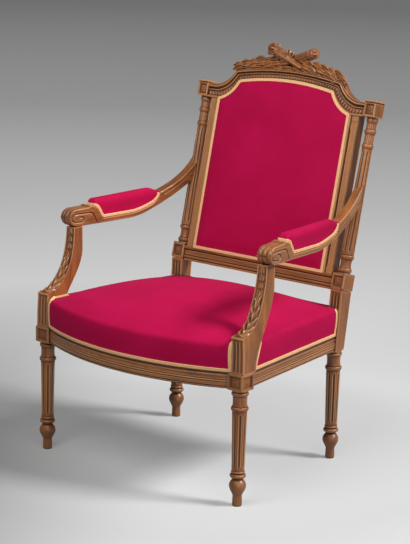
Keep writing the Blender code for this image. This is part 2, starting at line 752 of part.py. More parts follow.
def build_arm_support(side, sign, leg, side_rail, root):
    """Plinth and swept support between the front leg and the arm, let into the side rail's edge."""
    support = wood(f"arm_support_{side}", loft(support_rings(sign, 0.0)), root)
    half = SUPPORT_TENON / 2
    foot_y = FRONT_LEG_Y + SUPPORT_TENON_BACK
    low = (SUPPORT_X - half, foot_y - half, BLOCK_TOP - SUPPORT_TENON_DEPTH)
    high = (SUPPORT_X + half, foot_y + half, BLOCK_TOP + 2 * TENON_SHOULDER)
    tenon(support, leg, *mirrored_box(sign, low, high), root)
    combine(side_rail, loft(support_rings(sign, FIT_GAP)), "DIFFERENCE", root)
    return support


def arm_middle(y):
    """Half distance between the arms at a depth: straight at the hand, then drawing in to the post."""
    post_x = column_x(raked_v_at(ARM_JOINT_LOW, COLUMN_DEPTH)) + ARM_OUT_AT_POST
    post_y = arm_joint_y(ARM_JOINT_HIGH)
    share = min(max((y - HAND_END_Y) / (post_y - HAND_END_Y), 0.0), 1.0)
    return mix(FRONT_LEG_X, post_x, share ** ARM_DRAW_POWER)


def arm_half_width(y):
    """Half width of the arm, which narrows from the hand to the post."""
    share = (y - HAND_END_Y) / (arm_joint_y(ARM_JOINT_HIGH) - HAND_END_Y)
    return mix(ARM_HAND_WIDTH, ARM_REAR_WIDTH, ease(share)) / 2


def arm_joint_y(z):
    """Front of the column at the level where the arm meets it."""
    v = raked_v_at(z, COLUMN_DEPTH)
    radius = mix(COLUMN_BOTTOM_DIAMETER, COLUMN_TOP_DIAMETER, v / COLUMN_HEIGHT) / 2
    return raked(0.0, COLUMN_DEPTH - radius, v).y


def arm_under(y):
    """Underside of the arm: level under the hand, then sweeping up to the column."""
    end_y = arm_joint_y(ARM_JOINT_LOW)
    share = max(0.0, (y - ARM_SWEEP_START) / (end_y - ARM_SWEEP_START))
    return ARM_UNDERSIDE + (ARM_JOINT_LOW - ARM_UNDERSIDE) * share ** ARM_SWEEP_POWER


def pad_rear_y():
    """Rear end of the arm pad."""
    return arm_joint_y(ARM_JOINT_HIGH) - PAD_REAR_GAP


def pad_seat(y):
    """Height of the wood that carries the arm pad, with a curved shoulder at each end."""
    front = ease((PAD_SEAT_Y - y) / SHOULDER_LENGTH)
    level = arm_under(y) + ARM_SEAT_THICKNESS
    return mix(level, ARM_HAND_TOP + SHOULDER_RISE, front)


def pad_depths():
    """Depths of the sections that an arm and its pad share: down the shoulder, then along the seat."""
    depths = [HAND_END_Y + SHOULDER_LENGTH * k / PAD_SHOULDER_STEPS for k in range(PAD_SHOULDER_STEPS)]
    return depths + [mix(PAD_SEAT_Y, pad_rear_y(), k / PAD_STEPS) for k in range(PAD_STEPS + 1)]


def arm_stations():
    """Matching points along the arm's underside and top, from the scroll to the column."""
    centre_y = SCROLL_FRONT_Y + SCROLL_RADIUS
    centre_z = ARM_UNDERSIDE + SCROLL_RADIUS
    stations = []
    for degrees in SCROLL_ANGLES:
        angle = math.radians(degrees)
        y = centre_y - SCROLL_RADIUS * math.cos(angle)
        rise = SCROLL_RADIUS * math.sin(angle)
        stations.append(((y, centre_z - rise), (y, centre_z + rise)))
    for y in pad_depths():
        stations.append(((y, arm_under(y)), (y, pad_seat(y))))
    rear = pad_rear_y() + PAD_END_STEP
    base = pad_seat(rear) + ARM_REAR_THICKNESS - ARM_SEAT_THICKNESS
    for k in range(1, ARM_REAR_STEPS + 1):
        share = k / ARM_REAR_STEPS
        low_y = mix(rear, arm_joint_y(ARM_JOINT_LOW) + ARM_SCRIBE, share)
        high_y = mix(rear, arm_joint_y(ARM_JOINT_HIGH) + ARM_SCRIBE, share)
        high_z = mix(base, ARM_JOINT_HIGH, mix(share, share ** 3, 0.45))
        stations.append(((low_y, arm_under(low_y)), (high_y, high_z)))
    return stations


def build_arm(side, sign, support, post, root):
    """Arm with a rolled hand, a sunk seat for its pad and a rear end scribed to the column."""
    rings = []
    for (low_y, low_z), (high_y, high_z) in arm_stations():
        chamfer = min(ARM_CHAMFER, 0.3 * (high_z - low_z))
        share = chamfer / (high_z - low_z)
        ring = []
        for along, across in ((0.0, -1), (0.0, 1), (share, 1), (1.0 - share, 1),
                              (1.0, 1), (1.0, -1), (1.0 - share, -1), (share, -1)):
            y = mix(low_y, high_y, along)
            half = arm_half_width(y) - (chamfer if along in (0.0, 1.0) else 0.0)
            ring.append((sign * (arm_middle(y) + across * half), y, mix(low_z, high_z, along)))
        rings.append(ring)
    arm = wood(f"arm_{side}", loft(rings), root)
    _, shaft_low, shaft_high = column_profile()
    cutter = []
    for v, radius in ((shaft_low, COLUMN_BOTTOM_DIAMETER / 2), (shaft_high, COLUMN_TOP_DIAMETER / 2)):
        cutter.append(column_ring(sign, radius + 1.05 * FIT_GAP, v))
    combine(arm, loft(cutter), "DIFFERENCE", root)
    half = SUPPORT_TENON / 2
    top_y = SUPPORT_TOP_Y + SUPPORT_TOP_DEPTH / 2
    top_x = arm_middle(top_y)
    low = (top_x - half, top_y - half, ARM_UNDERSIDE - 2 * TENON_SHOULDER)
    high = (top_x + half, top_y + half, ARM_UNDERSIDE + SUPPORT_TENON_DEPTH)
    tenon(support, arm, *mirrored_box(sign, low, high), root)
    joint_z = mix(ARM_JOINT_LOW, ARM_JOINT_HIGH, 0.4)
    front_y = arm_joint_y(joint_z)
    joint_x = column_x(raked_v_at(joint_z, COLUMN_DEPTH))
    low = (joint_x - ARM_TENON_WIDTH / 2, front_y - ARM_TENON_ROOT, joint_z - ARM_TENON_HEIGHT / 2)
    high = (joint_x + ARM_TENON_WIDTH / 2, front_y + ARM_TENON_DEPTH, joint_z + ARM_TENON_HEIGHT / 2)
    tenon(arm, post, *mirrored_box(sign, low, high), root)
    return arm


def pad_ends(y):
    """How full the pad is at a depth: low at its two ends, full between them."""
    front, rear = pad_depths()[1], pad_depths()[-1]
    share = (y - front) / (rear - front)
    return max(0.0, 1.0 - abs(2 * share - 1) ** 5)


def pad_half_width(y):
    """Half width of the pad, inside the braid that runs round it."""
    return arm_half_width(y) - GIMP_THICKNESS - FIT_GAP


def build_arm_pad(side, sign, root):
    """Stuffed pad with a crowned top and sides drawn in to the arm."""
    rings = []
    for y in pad_depths()[1:]:
        low = pad_seat(y) + FIT_GAP
        straight = low + ARM_GIMP_WIDTH
        crown = mix(straight, max(ARM_SEAT + PAD_HEIGHT, straight), pad_ends(y)) + PAD_END_HEIGHT
        half = pad_half_width(y)
        bulge = PAD_BULGE * pad_ends(y)
        section = [(-half, low), (half, low), (half, straight), (half + bulge, mix(straight, crown, 0.35)),
                   (half * 0.86, mix(straight, crown, 0.75)), (half * 0.45, mix(straight, crown, 0.95)),
                   (0.0, crown), (-half * 0.45, mix(straight, crown, 0.95)),
                   (-half * 0.86, mix(straight, crown, 0.75)),
                   (-half - bulge, mix(straight, crown, 0.35)), (-half, straight)]
        rings.append([(sign * (arm_middle(y) + dx), y, z) for dx, z in section])
    return cloth(f"arm_pad_{side}", loft(rings), root)


def build_arm_gimp(side, sign, root):
    """Braid round the foot of an arm pad."""
    width = ARM_GIMP_WIDTH - 2 * FIT_GAP
    depths = pad_depths()[1:]
    route = [(y, 1) for y in depths] + [(y, -1) for y in reversed(depths)]
    wood_top = [top for _, top in arm_stations()]
    rings = []
    for y, across in route:
        end = 0.0
        if y == depths[0]:
            end = -1.0
        if y == depths[-1]:
            end = 1.0
        inner = pad_half_width(y) + FIT_GAP
        outer = inner + GIMP_THICKNESS
        ring = []
        for half, reach, rise in ((inner, FIT_GAP, 0.0), (outer, GIMP_THICKNESS + FIT_GAP, 0.0),
                                  (outer, GIMP_THICKNESS + FIT_GAP, width), (inner, FIT_GAP, width)):
            place_y = y + end * reach
            z = line_at(wood_top, place_y) + 2 * FIT_GAP + rise
            ring.append((sign * (arm_middle(y) + across * half), place_y, z))
        rings.append(ring)
    return braid(f"arm_pad_gimp_{side}", loft(rings, loop=True), root)


def arch(half_width, top, end, x):
    """Height of a shallow circular arch at a distance from its middle."""
    rise = top - end
    radius = (half_width ** 2 + rise ** 2) / (2 * rise)
    return top - radius + math.sqrt(radius * radius - x * x)


def hollow_shoulder(start, end):
    """Points along a shallow hollow curve between two points."""
    chord = Vector((end[0] - start[0], end[1] - start[1]))
    normal = Vector((chord.y, -chord.x)).normalized()
    if normal.x > 0:
        normal = -normal
    points = []
    for k in range(SHOULDER_STEPS):
        share = k / (SHOULDER_STEPS - 1)
        offset = SHOULDER_SAGITTA * 4 * share * (1 - share)
        points.append((start[0] + chord.x * share + normal.x * offset,
                       start[1] + chord.y * share + normal.y * offset))
    return points


def crest_lines():
    """Matching points under and over the crest rail's right half, from the middle to the end."""
    lower, upper = [], []
    for k in range(ARCH_STEPS):
        x = OPENING_ARCH_HALF_WIDTH * k / (ARCH_STEPS - 1)
        lower.append((x, arch(OPENING_ARCH_HALF_WIDTH, OPENING_TOP, OPENING_ARCH_END, x)))
        x = CREST_ARCH_HALF_WIDTH * k / (ARCH_STEPS - 1)
        upper.append((x, arch(CREST_ARCH_HALF_WIDTH, CREST_TOP, CREST_ARCH_END, x)))
    lower += hollow_shoulder((OPENING_ARCH_HALF_WIDTH + SHOULDER_FILLET, OPENING_ARCH_END - SHOULDER_FILLET),
                             (OPENING_HALF_WIDTH, OPENING_SHOULDER))
    upper += hollow_shoulder((CREST_ARCH_HALF_WIDTH + SHOULDER_FILLET, CREST_ARCH_END - SHOULDER_FILLET),
                             (OPENING_HALF_WIDTH + CREST_SHOULDER_OUT, CREST_END_TOP))
    return lower, upper


def frame_section(inner, outer):
    """Section across a frame member: a bead at the cloth side, a flat and a bead outside."""
    across = Vector((outer[0] - inner[0], outer[1] - inner[1]))
    length = across.length
    marks = [(0.0, FRAME_REAR), (0.0, FRAME_FRONT), (FRAME_BEAD, FRAME_FRONT),
             (1.6 * FRAME_BEAD, FRAME_FRONT + 0.6 * FRAME_BEAD),
             (length - 1.6 * FRAME_BEAD, FRAME_FRONT + 0.6 * FRAME_BEAD),
             (length - FRAME_BEAD, FRAME_FRONT), (length, FRAME_FRONT), (length, FRAME_REAR)]
    points = []
    for run, depth in marks:
        point = Vector(inner) + across * (run / length)
        points.append((point.x, depth, point.y))
    return points


def build_crest_rail(back):
    """Arched crest rail with hollow shoulders, between the two top blocks."""
    lower, upper = crest_lines()
    end = column_x(COLUMN_HEIGHT) - TOP_BLOCK_WIDTH / 2 - FIT_GAP
    lower.append((end, OPENING_SHOULDER))
    upper.append((end, CREST_END_TOP))
    rings = []
    for low, high in list(zip(lower, upper))[:0:-1]:
        rings.append(frame_section((-low[0], low[1]), (-high[0], high[1])))
    for low, high in zip(lower, upper):
        rings.append(frame_section(low, high))
    return wood("crest_rail", loft(rings), back)


def build_back_bottom_rail(back):
    """Bottom rail of the back, between the two dados."""
    rings = []
    for sign in (-1, 1):
        low_v = OPENING_BOTTOM - BACK_RAIL_HEIGHT
        ends = [column_x(v) - DADO_WIDTH / 2 - FIT_GAP for v in (OPENING_BOTTOM, low_v)]
        end = min(ends)
        rings.append(frame_section((sign * end, OPENING_BOTTOM), (sign * end, low_v)))
    return wood("back_bottom_rail", loft(rings), back)


def build_back_stile(side, sign, back):
    """Upright of the back frame beside the cloth."""
    rings = []
    for v in (OPENING_BOTTOM + FIT_GAP, OPENING_SHOULDER - FIT_GAP):
        ring = frame_section((OPENING_HALF_WIDTH, v), (STILE_OUTER, v))
        rings.append([(sign * x, depth, z) for x, depth, z in ring])
    return wood(f"back_stile_{side}", loft(rings), back)


def join_back_frame(posts, crest, bottom, stiles, back):
    """Mortise and tenon joints of the back frame."""
    near = FRAME_FRONT + 0.3 * FRAME_THICKNESS
    far = near + TENON_THICKNESS
    for side, sign in SIDES:
        crest_end = column_x(COLUMN_HEIGHT) - TOP_BLOCK_WIDTH / 2
        low = (crest_end - 2 * TENON_SHOULDER, near, OPENING_SHOULDER + TENON_SHOULDER)
        high = (crest_end + TENON_LENGTH, far, CREST_END_TOP - TENON_SHOULDER)
        tenon(crest, posts[side], *mirrored_box(sign, low, high), back)
        rail_end = column_x(OPENING_BOTTOM) - DADO_WIDTH / 2
        low = (rail_end - 2 * TENON_SHOULDER, near, OPENING_BOTTOM - BACK_RAIL_HEIGHT + TENON_SHOULDER)
        high = (rail_end + TENON_LENGTH, far, OPENING_BOTTOM - TENON_SHOULDER)
        tenon(bottom, posts[side], *mirrored_box(sign, low, high), back)
        inner = OPENING_HALF_WIDTH + TENON_SHOULDER
        outer = STILE_OUTER - TENON_SHOULDER
        low = (inner, near, OPENING_SHOULDER - 2 * TENON_SHOULDER)
        high = (outer, far, OPENING_SHOULDER + TENON_LENGTH)
        tenon(stiles[side], crest, *mirrored_box(sign, low, high), back)
        low = (inner, near, OPENING_BOTTOM - TENON_LENGTH)
        high = (outer, far, OPENING_BOTTOM + 2 * TENON_SHOULDER)
        tenon(stiles[side], bottom, *mirrored_box(sign, low, high), back)


def crest_top(x):
    """Top line of the crest rail's arch, carried on past its ends."""
    reach = min(abs(x), CREST_ARCH_HALF_WIDTH)
    return arch(CREST_ARCH_HALF_WIDTH, CREST_TOP, CREST_ARCH_END, reach)


def crossed_rings(sign, tilt, depth, profile, grow):
    """Rings of a turned piece that leans across the crest, counted from the crossing."""
    axis = Vector((sign * math.cos(tilt), 0.0, math.sin(tilt)))
    across = Vector((-sign * math.sin(tilt), 0.0, math.cos(tilt)))
    crossing = Vector((CROSS_X, depth, CREST_TOP + CROSS_RISE))
    rings = []
    for along, radius in profile:
        ring = []
        for k in range(CARVING_SIDES):
            angle = 2 * math.pi * k / CARVING_SIDES
            reach = radius + grow
            offset = across * (reach * math.cos(angle)) + Vector((0.0, reach * math.sin(angle), 0.0))
            ring.append(crossing + axis * along + offset)
        rings.append(ring)
    return rings


def torch_rings(grow):
    """Torch: a thin tail, a swelling body, a band and the flame."""
    head = TORCH_HEAD_LENGTH
    body = 0.75 * TORCH_BAND_RADIUS + 0.25 * TORCH_WAIST_RADIUS
    profile = [(-TORCH_TAIL_LENGTH, TORCH_TAIL_RADIUS), (-0.3 * TORCH_TAIL_LENGTH, 0.7 * TORCH_WAIST_RADIUS),
               (0.0, TORCH_WAIST_RADIUS), (0.38 * head, body), (0.40 * head, TORCH_BAND_RADIUS),
               (0.49 * head, TORCH_BAND_RADIUS), (0.51 * head, body), (0.70 * head, FLAME_RADIUS),
               (0.86 * head, 0.8 * FLAME_RADIUS), (head, 0.3 * FLAME_RADIUS)]
    return crossed_rings(-1, TORCH_TILT, TORCH_DEPTH, profile, grow)


def build_torch(back):
    """Flaming torch in front at the crossing, with its tail cut to sit on the crest rail."""
    torch = wood("crest_torch", loft(torch_rings(0.0)), back)
    half = OPENING_ARCH_HALF_WIDTH
    under = []
    for depth in (TORCH_DEPTH - 2 * FLAME_RADIUS, TORCH_DEPTH + 2 * FLAME_RADIUS):
        ring = [(half, depth, OPENING_SHOULDER), (-half, depth, OPENING_SHOULDER)]
        for k in range(CREST_CUT_STEPS + 1):
            x = half * (2 * k / CREST_CUT_STEPS - 1)
            ring.append((x, depth, crest_top(x) + FIT_GAP))
        under.append(ring)
    combine(torch, loft(under), "DIFFERENCE", back)
    return torch


def build_quiver(back):
    """Quiver behind the torch, notched where they cross."""
    head = QUIVER_HEAD_LENGTH
    profile = [(-QUIVER_TAIL_LENGTH, QUIVER_TAIL_RADIUS), (0.0, 0.84 * QUIVER_BODY_RADIUS),
               (0.66 * head, QUIVER_BODY_RADIUS), (0.68 * head, QUIVER_BAND_RADIUS),
               (0.88 * head, QUIVER_BAND_RADIUS), (0.90 * head, QUIVER_BODY_RADIUS),
               (head, 0.85 * QUIVER_BODY_RADIUS)]
    quiver = wood("crest_quiver", loft(crossed_rings(1, QUIVER_TILT, QUIVER_DEPTH, profile, 0.0)), back)
    combine(quiver, loft(torch_rings(FIT_GAP)), "DIFFERENCE", back)
    return quiver


def build_laurel(side, sign, back):
    """Spray of laurel leaves lying along the crest rail's arch."""
    lower, upper = [], []
    steps = 2 * LAUREL_LEAVES
    for k in range(steps + 1):
        share = k / steps
        x = mix(LAUREL_START, LAUREL_END, share)
        base = crest_top(x) + FIT_GAP
        lower.append((x, base))
        height = mix(LAUREL_HEIGHT, LAUREL_TIP_HEIGHT, share ** 2.2) * mix(0.72, 1.0, ease(share * 4))
        notch = LAUREL_NOTCH * (1.0 - 0.6 * share) if k % 2 else 0.0
        upper.append((x + (0.0 if k % 2 else LEAF_LEAN), base + height - notch))
    middle = LAUREL_DEPTH
    rings = []
    for (low_x, low_v), (high_x, high_v) in zip(lower, upper):
        half = LAUREL_THICKNESS / 2
        crest = 0.45 * half
        ring = [(low_x, middle - half, low_v), (mix(low_x, high_x, 0.7), middle - half, mix(low_v, high_v, 0.7)),
                (high_x, middle - crest, high_v), (high_x, middle + crest, high_v),
                (mix(low_x, high_x, 0.7), middle + half, mix(low_v, high_v, 0.7)), (low_x, middle + half, low_v)]
        rings.append([(sign * x, y, z) for x, y, z in ring])
    return wood(f"crest_laurel_{side}", loft(rings), back)


def seat_outline(inset):
    """Plan of the seat cloth, moved in by an inset, counted round from the front left corner."""
    radius = BOW_RADIUS - inset - COVER_SETBACK
    base_x = side_x(0.0, inset + COVER_SETBACK)
    a = 1.0 + SIDE_SLOPE ** 2
    b = 2 * (base_x * SIDE_SLOPE - BOW_CENTRE_Y)
    c = base_x ** 2 + BOW_CENTRE_Y ** 2 - radius ** 2
    corner_y = (-b - math.sqrt(b * b - 4 * a * c)) / (2 * a)
    corner_x = base_x + SIDE_SLOPE * corner_y
    back_y = SEAT_BACK_Y - inset
    back_x = base_x + SIDE_SLOPE * back_y
    plinth = SUPPORT_X - SUPPORT_WIDTH / 2
    strip = plinth - 1.2 * GIMP_WIDTH
    middle = [strip * (2 * k / SEAT_FRONT_STEPS - 1) for k in range(SEAT_FRONT_STEPS + 1)]
    points = []
    for x in [-corner_x, -plinth] + middle + [plinth]:
        points.append((x, BOW_CENTRE_Y - math.sqrt(radius ** 2 - x * x)))
    for k in range(SEAT_SIDE_STEPS):
        share = k / SEAT_SIDE_STEPS
        points.append((mix(corner_x, back_x, share), mix(corner_y, back_y, share)))
    for k in range(SEAT_BACK_STEPS):
        points.append((mix(back_x, -back_x, k / SEAT_BACK_STEPS), back_y))
    for k in range(SEAT_SIDE_STEPS):
        share = k / SEAT_SIDE_STEPS
        points.append((mix(-back_x, -corner_x, share), mix(back_y, corner_y, share)))
    return points


def swell_start():
    """Share of the wall's height that stays upright behind the braid."""
    return (GIMP_WIDTH + GIMP_CLEARANCE) / (SEAT_EDGE - COVER_BOTTOM)


def stuffing_start():
    """Share of the wall's height where the stuffing begins, just above the hessian."""
    return (RAIL_TOP + HESSIAN_THICKNESS + 2 * FIT_GAP - COVER_BOTTOM) / (SEAT_EDGE - COVER_BOTTOM)


def seat_wall(height_share):
    """Inset of the seat cloth's wall: upright behind the braid, then swelling, then rounding over."""
    height = SEAT_EDGE - COVER_BOTTOM
    z = COVER_BOTTOM + height * height_share
    start = swell_start()
    swell = math.sin(math.pi * max(0.0, height_share - start) / (1.0 - start))
    inset = -SEAT_SIDE_BULGE * swell
    over = z - (SEAT_EDGE - SEAT_EDGE_ROUND)
    if over > 0:
        inset += SEAT_EDGE_ROUND - math.sqrt(max(0.0, SEAT_EDGE_ROUND ** 2 - over ** 2))
    return inset, z


def seat_dome(x, y):
    """Share of the seat's crown at a place in plan."""
    front = bow_y(0.0)
    half = (SEAT_BACK_Y - front) / 2
    along = (y - front - half) / half
    across = x / side_x(y)
    return max(0.0, 1.0 - across ** 2) * max(0.0, 1.0 - along ** 2)


def seat_rings(thickness, inner_shares, wall_shares):
    """Rings over the seat, from the foot of its wall to near its middle."""
    rings = []
    for share in wall_shares:
        inset, z = seat_wall(share)
        rings.append([(x, y, z - thickness * share) for x, y in seat_outline(inset + thickness)])
    rim = seat_outline(SEAT_EDGE_ROUND + thickness)
    middle_y = (bow_y(0.0) + SEAT_BACK_Y) / 2
    for share in inner_shares:
        ring = []
        for x, y in rim:
            place = (x * share, mix(middle_y, y, share))
            z = SEAT_EDGE - thickness + SEAT_CROWN * seat_dome(*place)
            ring.append((place[0], place[1], z))
        rings.append(ring)
    return rings


def cut_round_posts(piece, extra, root):
    """Cut a seat layer clear of the arm supports, the front blocks and the back posts."""
    for _, sign in SIDES:
        combine(piece, loft(support_rings(sign, FIT_GAP + extra)), "DIFFERENCE", root)
        combine(piece, loft(post_rings(sign, FIT_GAP + extra)), "DIFFERENCE", root)


def build_seat_cover(root):
    """Cloth over the seat, open below, with a crown and drawn-in sides."""
    outer = seat_rings(0.0, (0.94, 0.8, 0.6, 0.38, 0.14), (0.0, swell_start()) + WALL_LEVELS)
    inner = seat_rings(COVER_THICKNESS, (0.94, 0.75, 0.5, 0.14), (0.0, swell_start(), stuffing_start(), 0.7, 1.0))
    cover = cloth("seat_cover", loft(list(reversed(inner)) + outer), root)
    cut_round_posts(cover, 0.0, root)
    return cover


def build_seat_stuffing(root):
    """Horsehair under the seat cloth, on the hessian."""
    rings = seat_rings(COVER_THICKNESS + WADDING_ROOM, (0.94, 0.75, 0.5, 0.14), (stuffing_start(), 0.7, 1.0))
    bottom = RAIL_TOP + HESSIAN_THICKNESS + 2 * FIT_GAP
    rings[0] = [(x, y, bottom) for x, y, _ in rings[0]]
    stuffing = finish(link("seat_stuffing", loft(rings), root), HORSEHAIR, 0.95)
    cut_round_posts(stuffing, COVER_THICKNESS, root)
    return stuffing


def build_seat_hessian(root):
    """Hessian sheet on top of the rails and the springs."""
    bottom = RAIL_TOP + FIT_GAP
    outline = seat_outline(TACKING_STEP)
    rings = [[(x, y, z) for x, y in outline] for z in (bottom, bottom + HESSIAN_THICKNESS)]
    hessian = finish(link("seat_hessian", loft(rings), root), JUTE, 0.95)
    cut_round_posts(hessian, 0.0, root)
    return hessian


def build_webbing(root):
    """Jute straps under the rails, laid crosswise and joined where they cross."""
    top = WEBBING_TOP
    half = WEBBING_WIDTH / 2
    lap = 0.4 * WEBBING_THICKNESS
    webbing = None
    for k in (-1, 0, 1):
        x = k * WEBBING_PITCH_X
        front = bow_y(abs(x) + half) + WEBBING_INSET
        low = (x - half, front, top - 1.6 * WEBBING_THICKNESS)
        high = (x + half, BACK_RAIL_REAR - WEBBING_INSET, top - lap)
        strap = box(low, high)
        if webbing is None:
            webbing = finish(link("seat_webbing", strap, root), JUTE, 0.95)
        else:
            combine(webbing, strap, "UNION", root)
    for k in (-1, 0, 1):
        y = k * WEBBING_PITCH_Y
        reach = side_x(y + half) - WEBBING_INSET
        low = (-reach, y - half, top - WEBBING_THICKNESS)
        combine(webbing, box(low, (reach, y + half, top)), "UNION", root)
    return webbing


def build_dust_cover(root):
    """Thin cloth under the webbing."""
    top = WEBBING_TOP - 1.6 * WEBBING_THICKNESS - FIT_GAP
    rings = [[(x, y, z) for x, y in seat_outline(WEBBING_INSET)] for z in (top - DUST_COVER_THICKNESS, top)]
    cover = finish(link("seat_dust_cover", loft(rings), root), JUTE, 0.95)
    for _, sign in SIDES:
        for x, y, half in ((FRONT_LEG_X, FRONT_LEG_Y, BLOCK_SIDE / 2), (BACK_LEG_X, BACK_LEG_Y, POST_WIDTH / 2)):
            reach = half + FIT_GAP
            low = (x - reach, y - reach - BLOCK_SIDE, top - reach)
            high = (x + reach + BLOCK_SIDE, y + reach, top + reach)
            if y > 0:
                low = (x - reach, y - reach, top - reach)
                high = (x + reach + BLOCK_SIDE, y + reach + BLOCK_SIDE, top + reach)
            combine(cover, box(*mirrored_box(sign, low, high)), "DIFFERENCE", root)
    return cover


def spring_points():
    """Hourglass helix from the webbing to the hessian, as offsets from its foot."""
    height = RAIL_TOP - WEBBING_TOP - SPRING_WIRE - 2 * FIT_GAP
    count = int(SPRING_TURNS * SPRING_POINTS)
    points = []
    for k in range(count + 1):
        share = k / count
        waist = math.sin(math.pi * share)
        radius = mix(SPRING_DIAMETER, SPRING_WAIST, waist) / 2 - SPRING_WIRE / 2
        angle = 2 * math.pi * SPRING_TURNS * share
        points.append(Vector((radius * math.cos(angle), radius * math.sin(angle), height * share)))
    return points


def least_spring_gap():
    """Least gap between turns of one spring, measured on its points."""
    points = spring_points()
    gaps = []
    for i, first in enumerate(points):
        for second in points[i + SPRING_POINTS // 2:]:
            gaps.append((first - second).length - SPRING_WIRE)
    return min(gaps)


def build_springs(root):
    """Hourglass springs standing on the webbing."""
    number = 0
    for row in range(SPRING_ROWS):
        for column in range(SPRING_ROWS):
            number += 1
            curve = bpy.data.curves.new(f"seat_spring_{number}", "CURVE")
            curve.dimensions = "3D"
            curve.bevel_depth = SPRING_WIRE / 2
            curve.bevel_resolution = 0
            curve.use_fill_caps = True
            points = spring_points()
            spline = curve.splines.new("POLY")
            spline.points.add(len(points) - 1)
            for point, place in zip(spline.points, points):
                point.co = (*place, 1.0)
            spring = bpy.data.objects.new(curve.name, curve)
            bpy.context.scene.collection.objects.link(spring)
            spring.parent = root
            spring.location = ((column - 1) * SPRING_PITCH_X, SPRING_MIDDLE_Y + (row - 1) * SPRING_PITCH_Y,
                               WEBBING_TOP + SPRING_WIRE / 2 + FIT_GAP)
            material = bpy.data.materials.new(spring.name)
            material.use_nodes = True
            shader = material.node_tree.nodes["Principled BSDF"]
            shader.inputs["Base Color"].default_value = (*STEEL, 1.0)
            shader.inputs["Metallic"].default_value = 1.0
            shader.inputs["Roughness"].default_value = 0.5
            curve.materials.append(material)


def build_braces(root):
    """Diagonal blocks screwed across the inner corners of the seat frame."""
    bottom = RAIL_BOTTOM + BRACE_RISE
    bow_inside = [(x, bow_y(x) + RAIL_THICKNESS * bow_stretch(x) + FIT_GAP) for x in bow_stations()]
    start = BLOCK_INNER_X - BRACE_FROM_BLOCK
    front = [(x, line_at(bow_inside, x)) for x in (start, start - BRACE_LAND)]
    inner_y = FRONT_LEG_Y + BLOCK_SIDE / 2 + BRACE_FROM_BLOCK
    front += [(side_x(y, RAIL_THICKNESS) - FIT_GAP, y) for y in (inner_y + BRACE_LAND, inner_y)]
    start = BACK_LEG_X - POST_WIDTH / 2 - BRACE_FROM_POST
    rail_y = BACK_RAIL_REAR - RAIL_THICKNESS - FIT_GAP
    back = [(start, rail_y), (start - BRACE_LAND, rail_y)]
    inner_y = post_front_y(bottom) - BRACE_FROM_POST
    back += [(side_x(y, RAIL_THICKNESS) - FIT_GAP, y) for y in (inner_y - BRACE_LAND, inner_y)]
    for side, sign in SIDES:
        for place, plan in (("front", front), ("back", back)):
            rings = [[(sign * x, y, z) for x, y in plan] for z in (bottom, bottom + BRACE_HEIGHT)]
            finish(link(f"corner_brace_{place}_{side}", loft(rings), root), BEECH, 0.6)


def build_back_upholstery(back):
    """Hessian, stuffing, front cloth, outside cloth and braids of the back."""
    hessian_front = FRAME_REAR - BACK_HESSIAN_SETBACK
    outside_front = FRAME_REAR - OUTSIDE_BACK_SETBACK
    stuffing_rear = hessian_front - FIT_GAP
    outline = back_outline(FIT_GAP)
    rings = [[(x, d, v) for x, v in outline] for d in (hessian_front, hessian_front + HESSIAN_THICKNESS)]
    finish(link("back_hessian", loft(rings), back), JUTE, 0.95)
    rings = [[(x, d, v) for x, v in outline] for d in (outside_front, outside_front + COVER_THICKNESS)]
    cloth("outside_back_cover", loft(rings), back)
    half_roll = (GIMP_WIDTH + BACK_ROLL) / 2
    outer = back_pad_rings(FIT_GAP, 0.0, (0.0, GIMP_WIDTH, half_roll, BACK_ROLL), (0.8, 0.55, 0.25, 0.1))
    inner = back_pad_rings(FIT_GAP, COVER_THICKNESS, (0.0, half_roll), (0.8, 0.5, 0.1))
    cloth("back_cover", loft(list(reversed(inner)) + outer), back)
    front = back_pad_rings(2 * FIT_GAP, COVER_THICKNESS + FIT_GAP, (0.0, half_roll), (0.8, 0.5, 0.1))
    rear = [[(x, stuffing_rear, v) for x, _, v in front[0]]]
    finish(link("back_stuffing", loft(rear + front), back), HORSEHAIR, 0.95)
    front_braid = FRAME_FRONT - FIT_GAP - GIMP_THICKNESS
    braid("back_gimp", gimp_frame(front_braid), back)
    braid("outside_back_gimp", gimp_frame(FRAME_REAR + FIT_GAP), back)


def back_outline(inset):
    """Outline of the back's opening, moved in by an inset, from the middle of the top rightwards."""
    lower, _ = crest_lines()
    half = [(0.0, OPENING_TOP)] + lower[1:]
    for k in range(1, BACK_SIDE_STEPS + 1):
        half.append((OPENING_HALF_WIDTH, mix(OPENING_SHOULDER, OPENING_BOTTOM, k / BACK_SIDE_STEPS)))
    for k in range(1, BACK_SIDE_STEPS):
        half.append((mix(OPENING_HALF_WIDTH, 0.0, k / BACK_SIDE_STEPS), OPENING_BOTTOM))
    whole = half + [(0.0, OPENING_BOTTOM)] + [(-x, v) for x, v in reversed(half[1:])]
    moved = []
    count = len(whole)
    for k in range(count):
        before, here, after = (Vector(whole[(k + step) % count]) for step in (-1, 0, 1))
        first = (here - before).normalized()
        second = (after - here).normalized()
        normal = Vector((first.y + second.y, -first.x - second.x))
        normal.normalize()
        reach = inset / max(0.5, Vector((first.y, -first.x)).dot(normal))
        moved.append((here.x + normal.x * reach, here.y + normal.y * reach))
    return moved


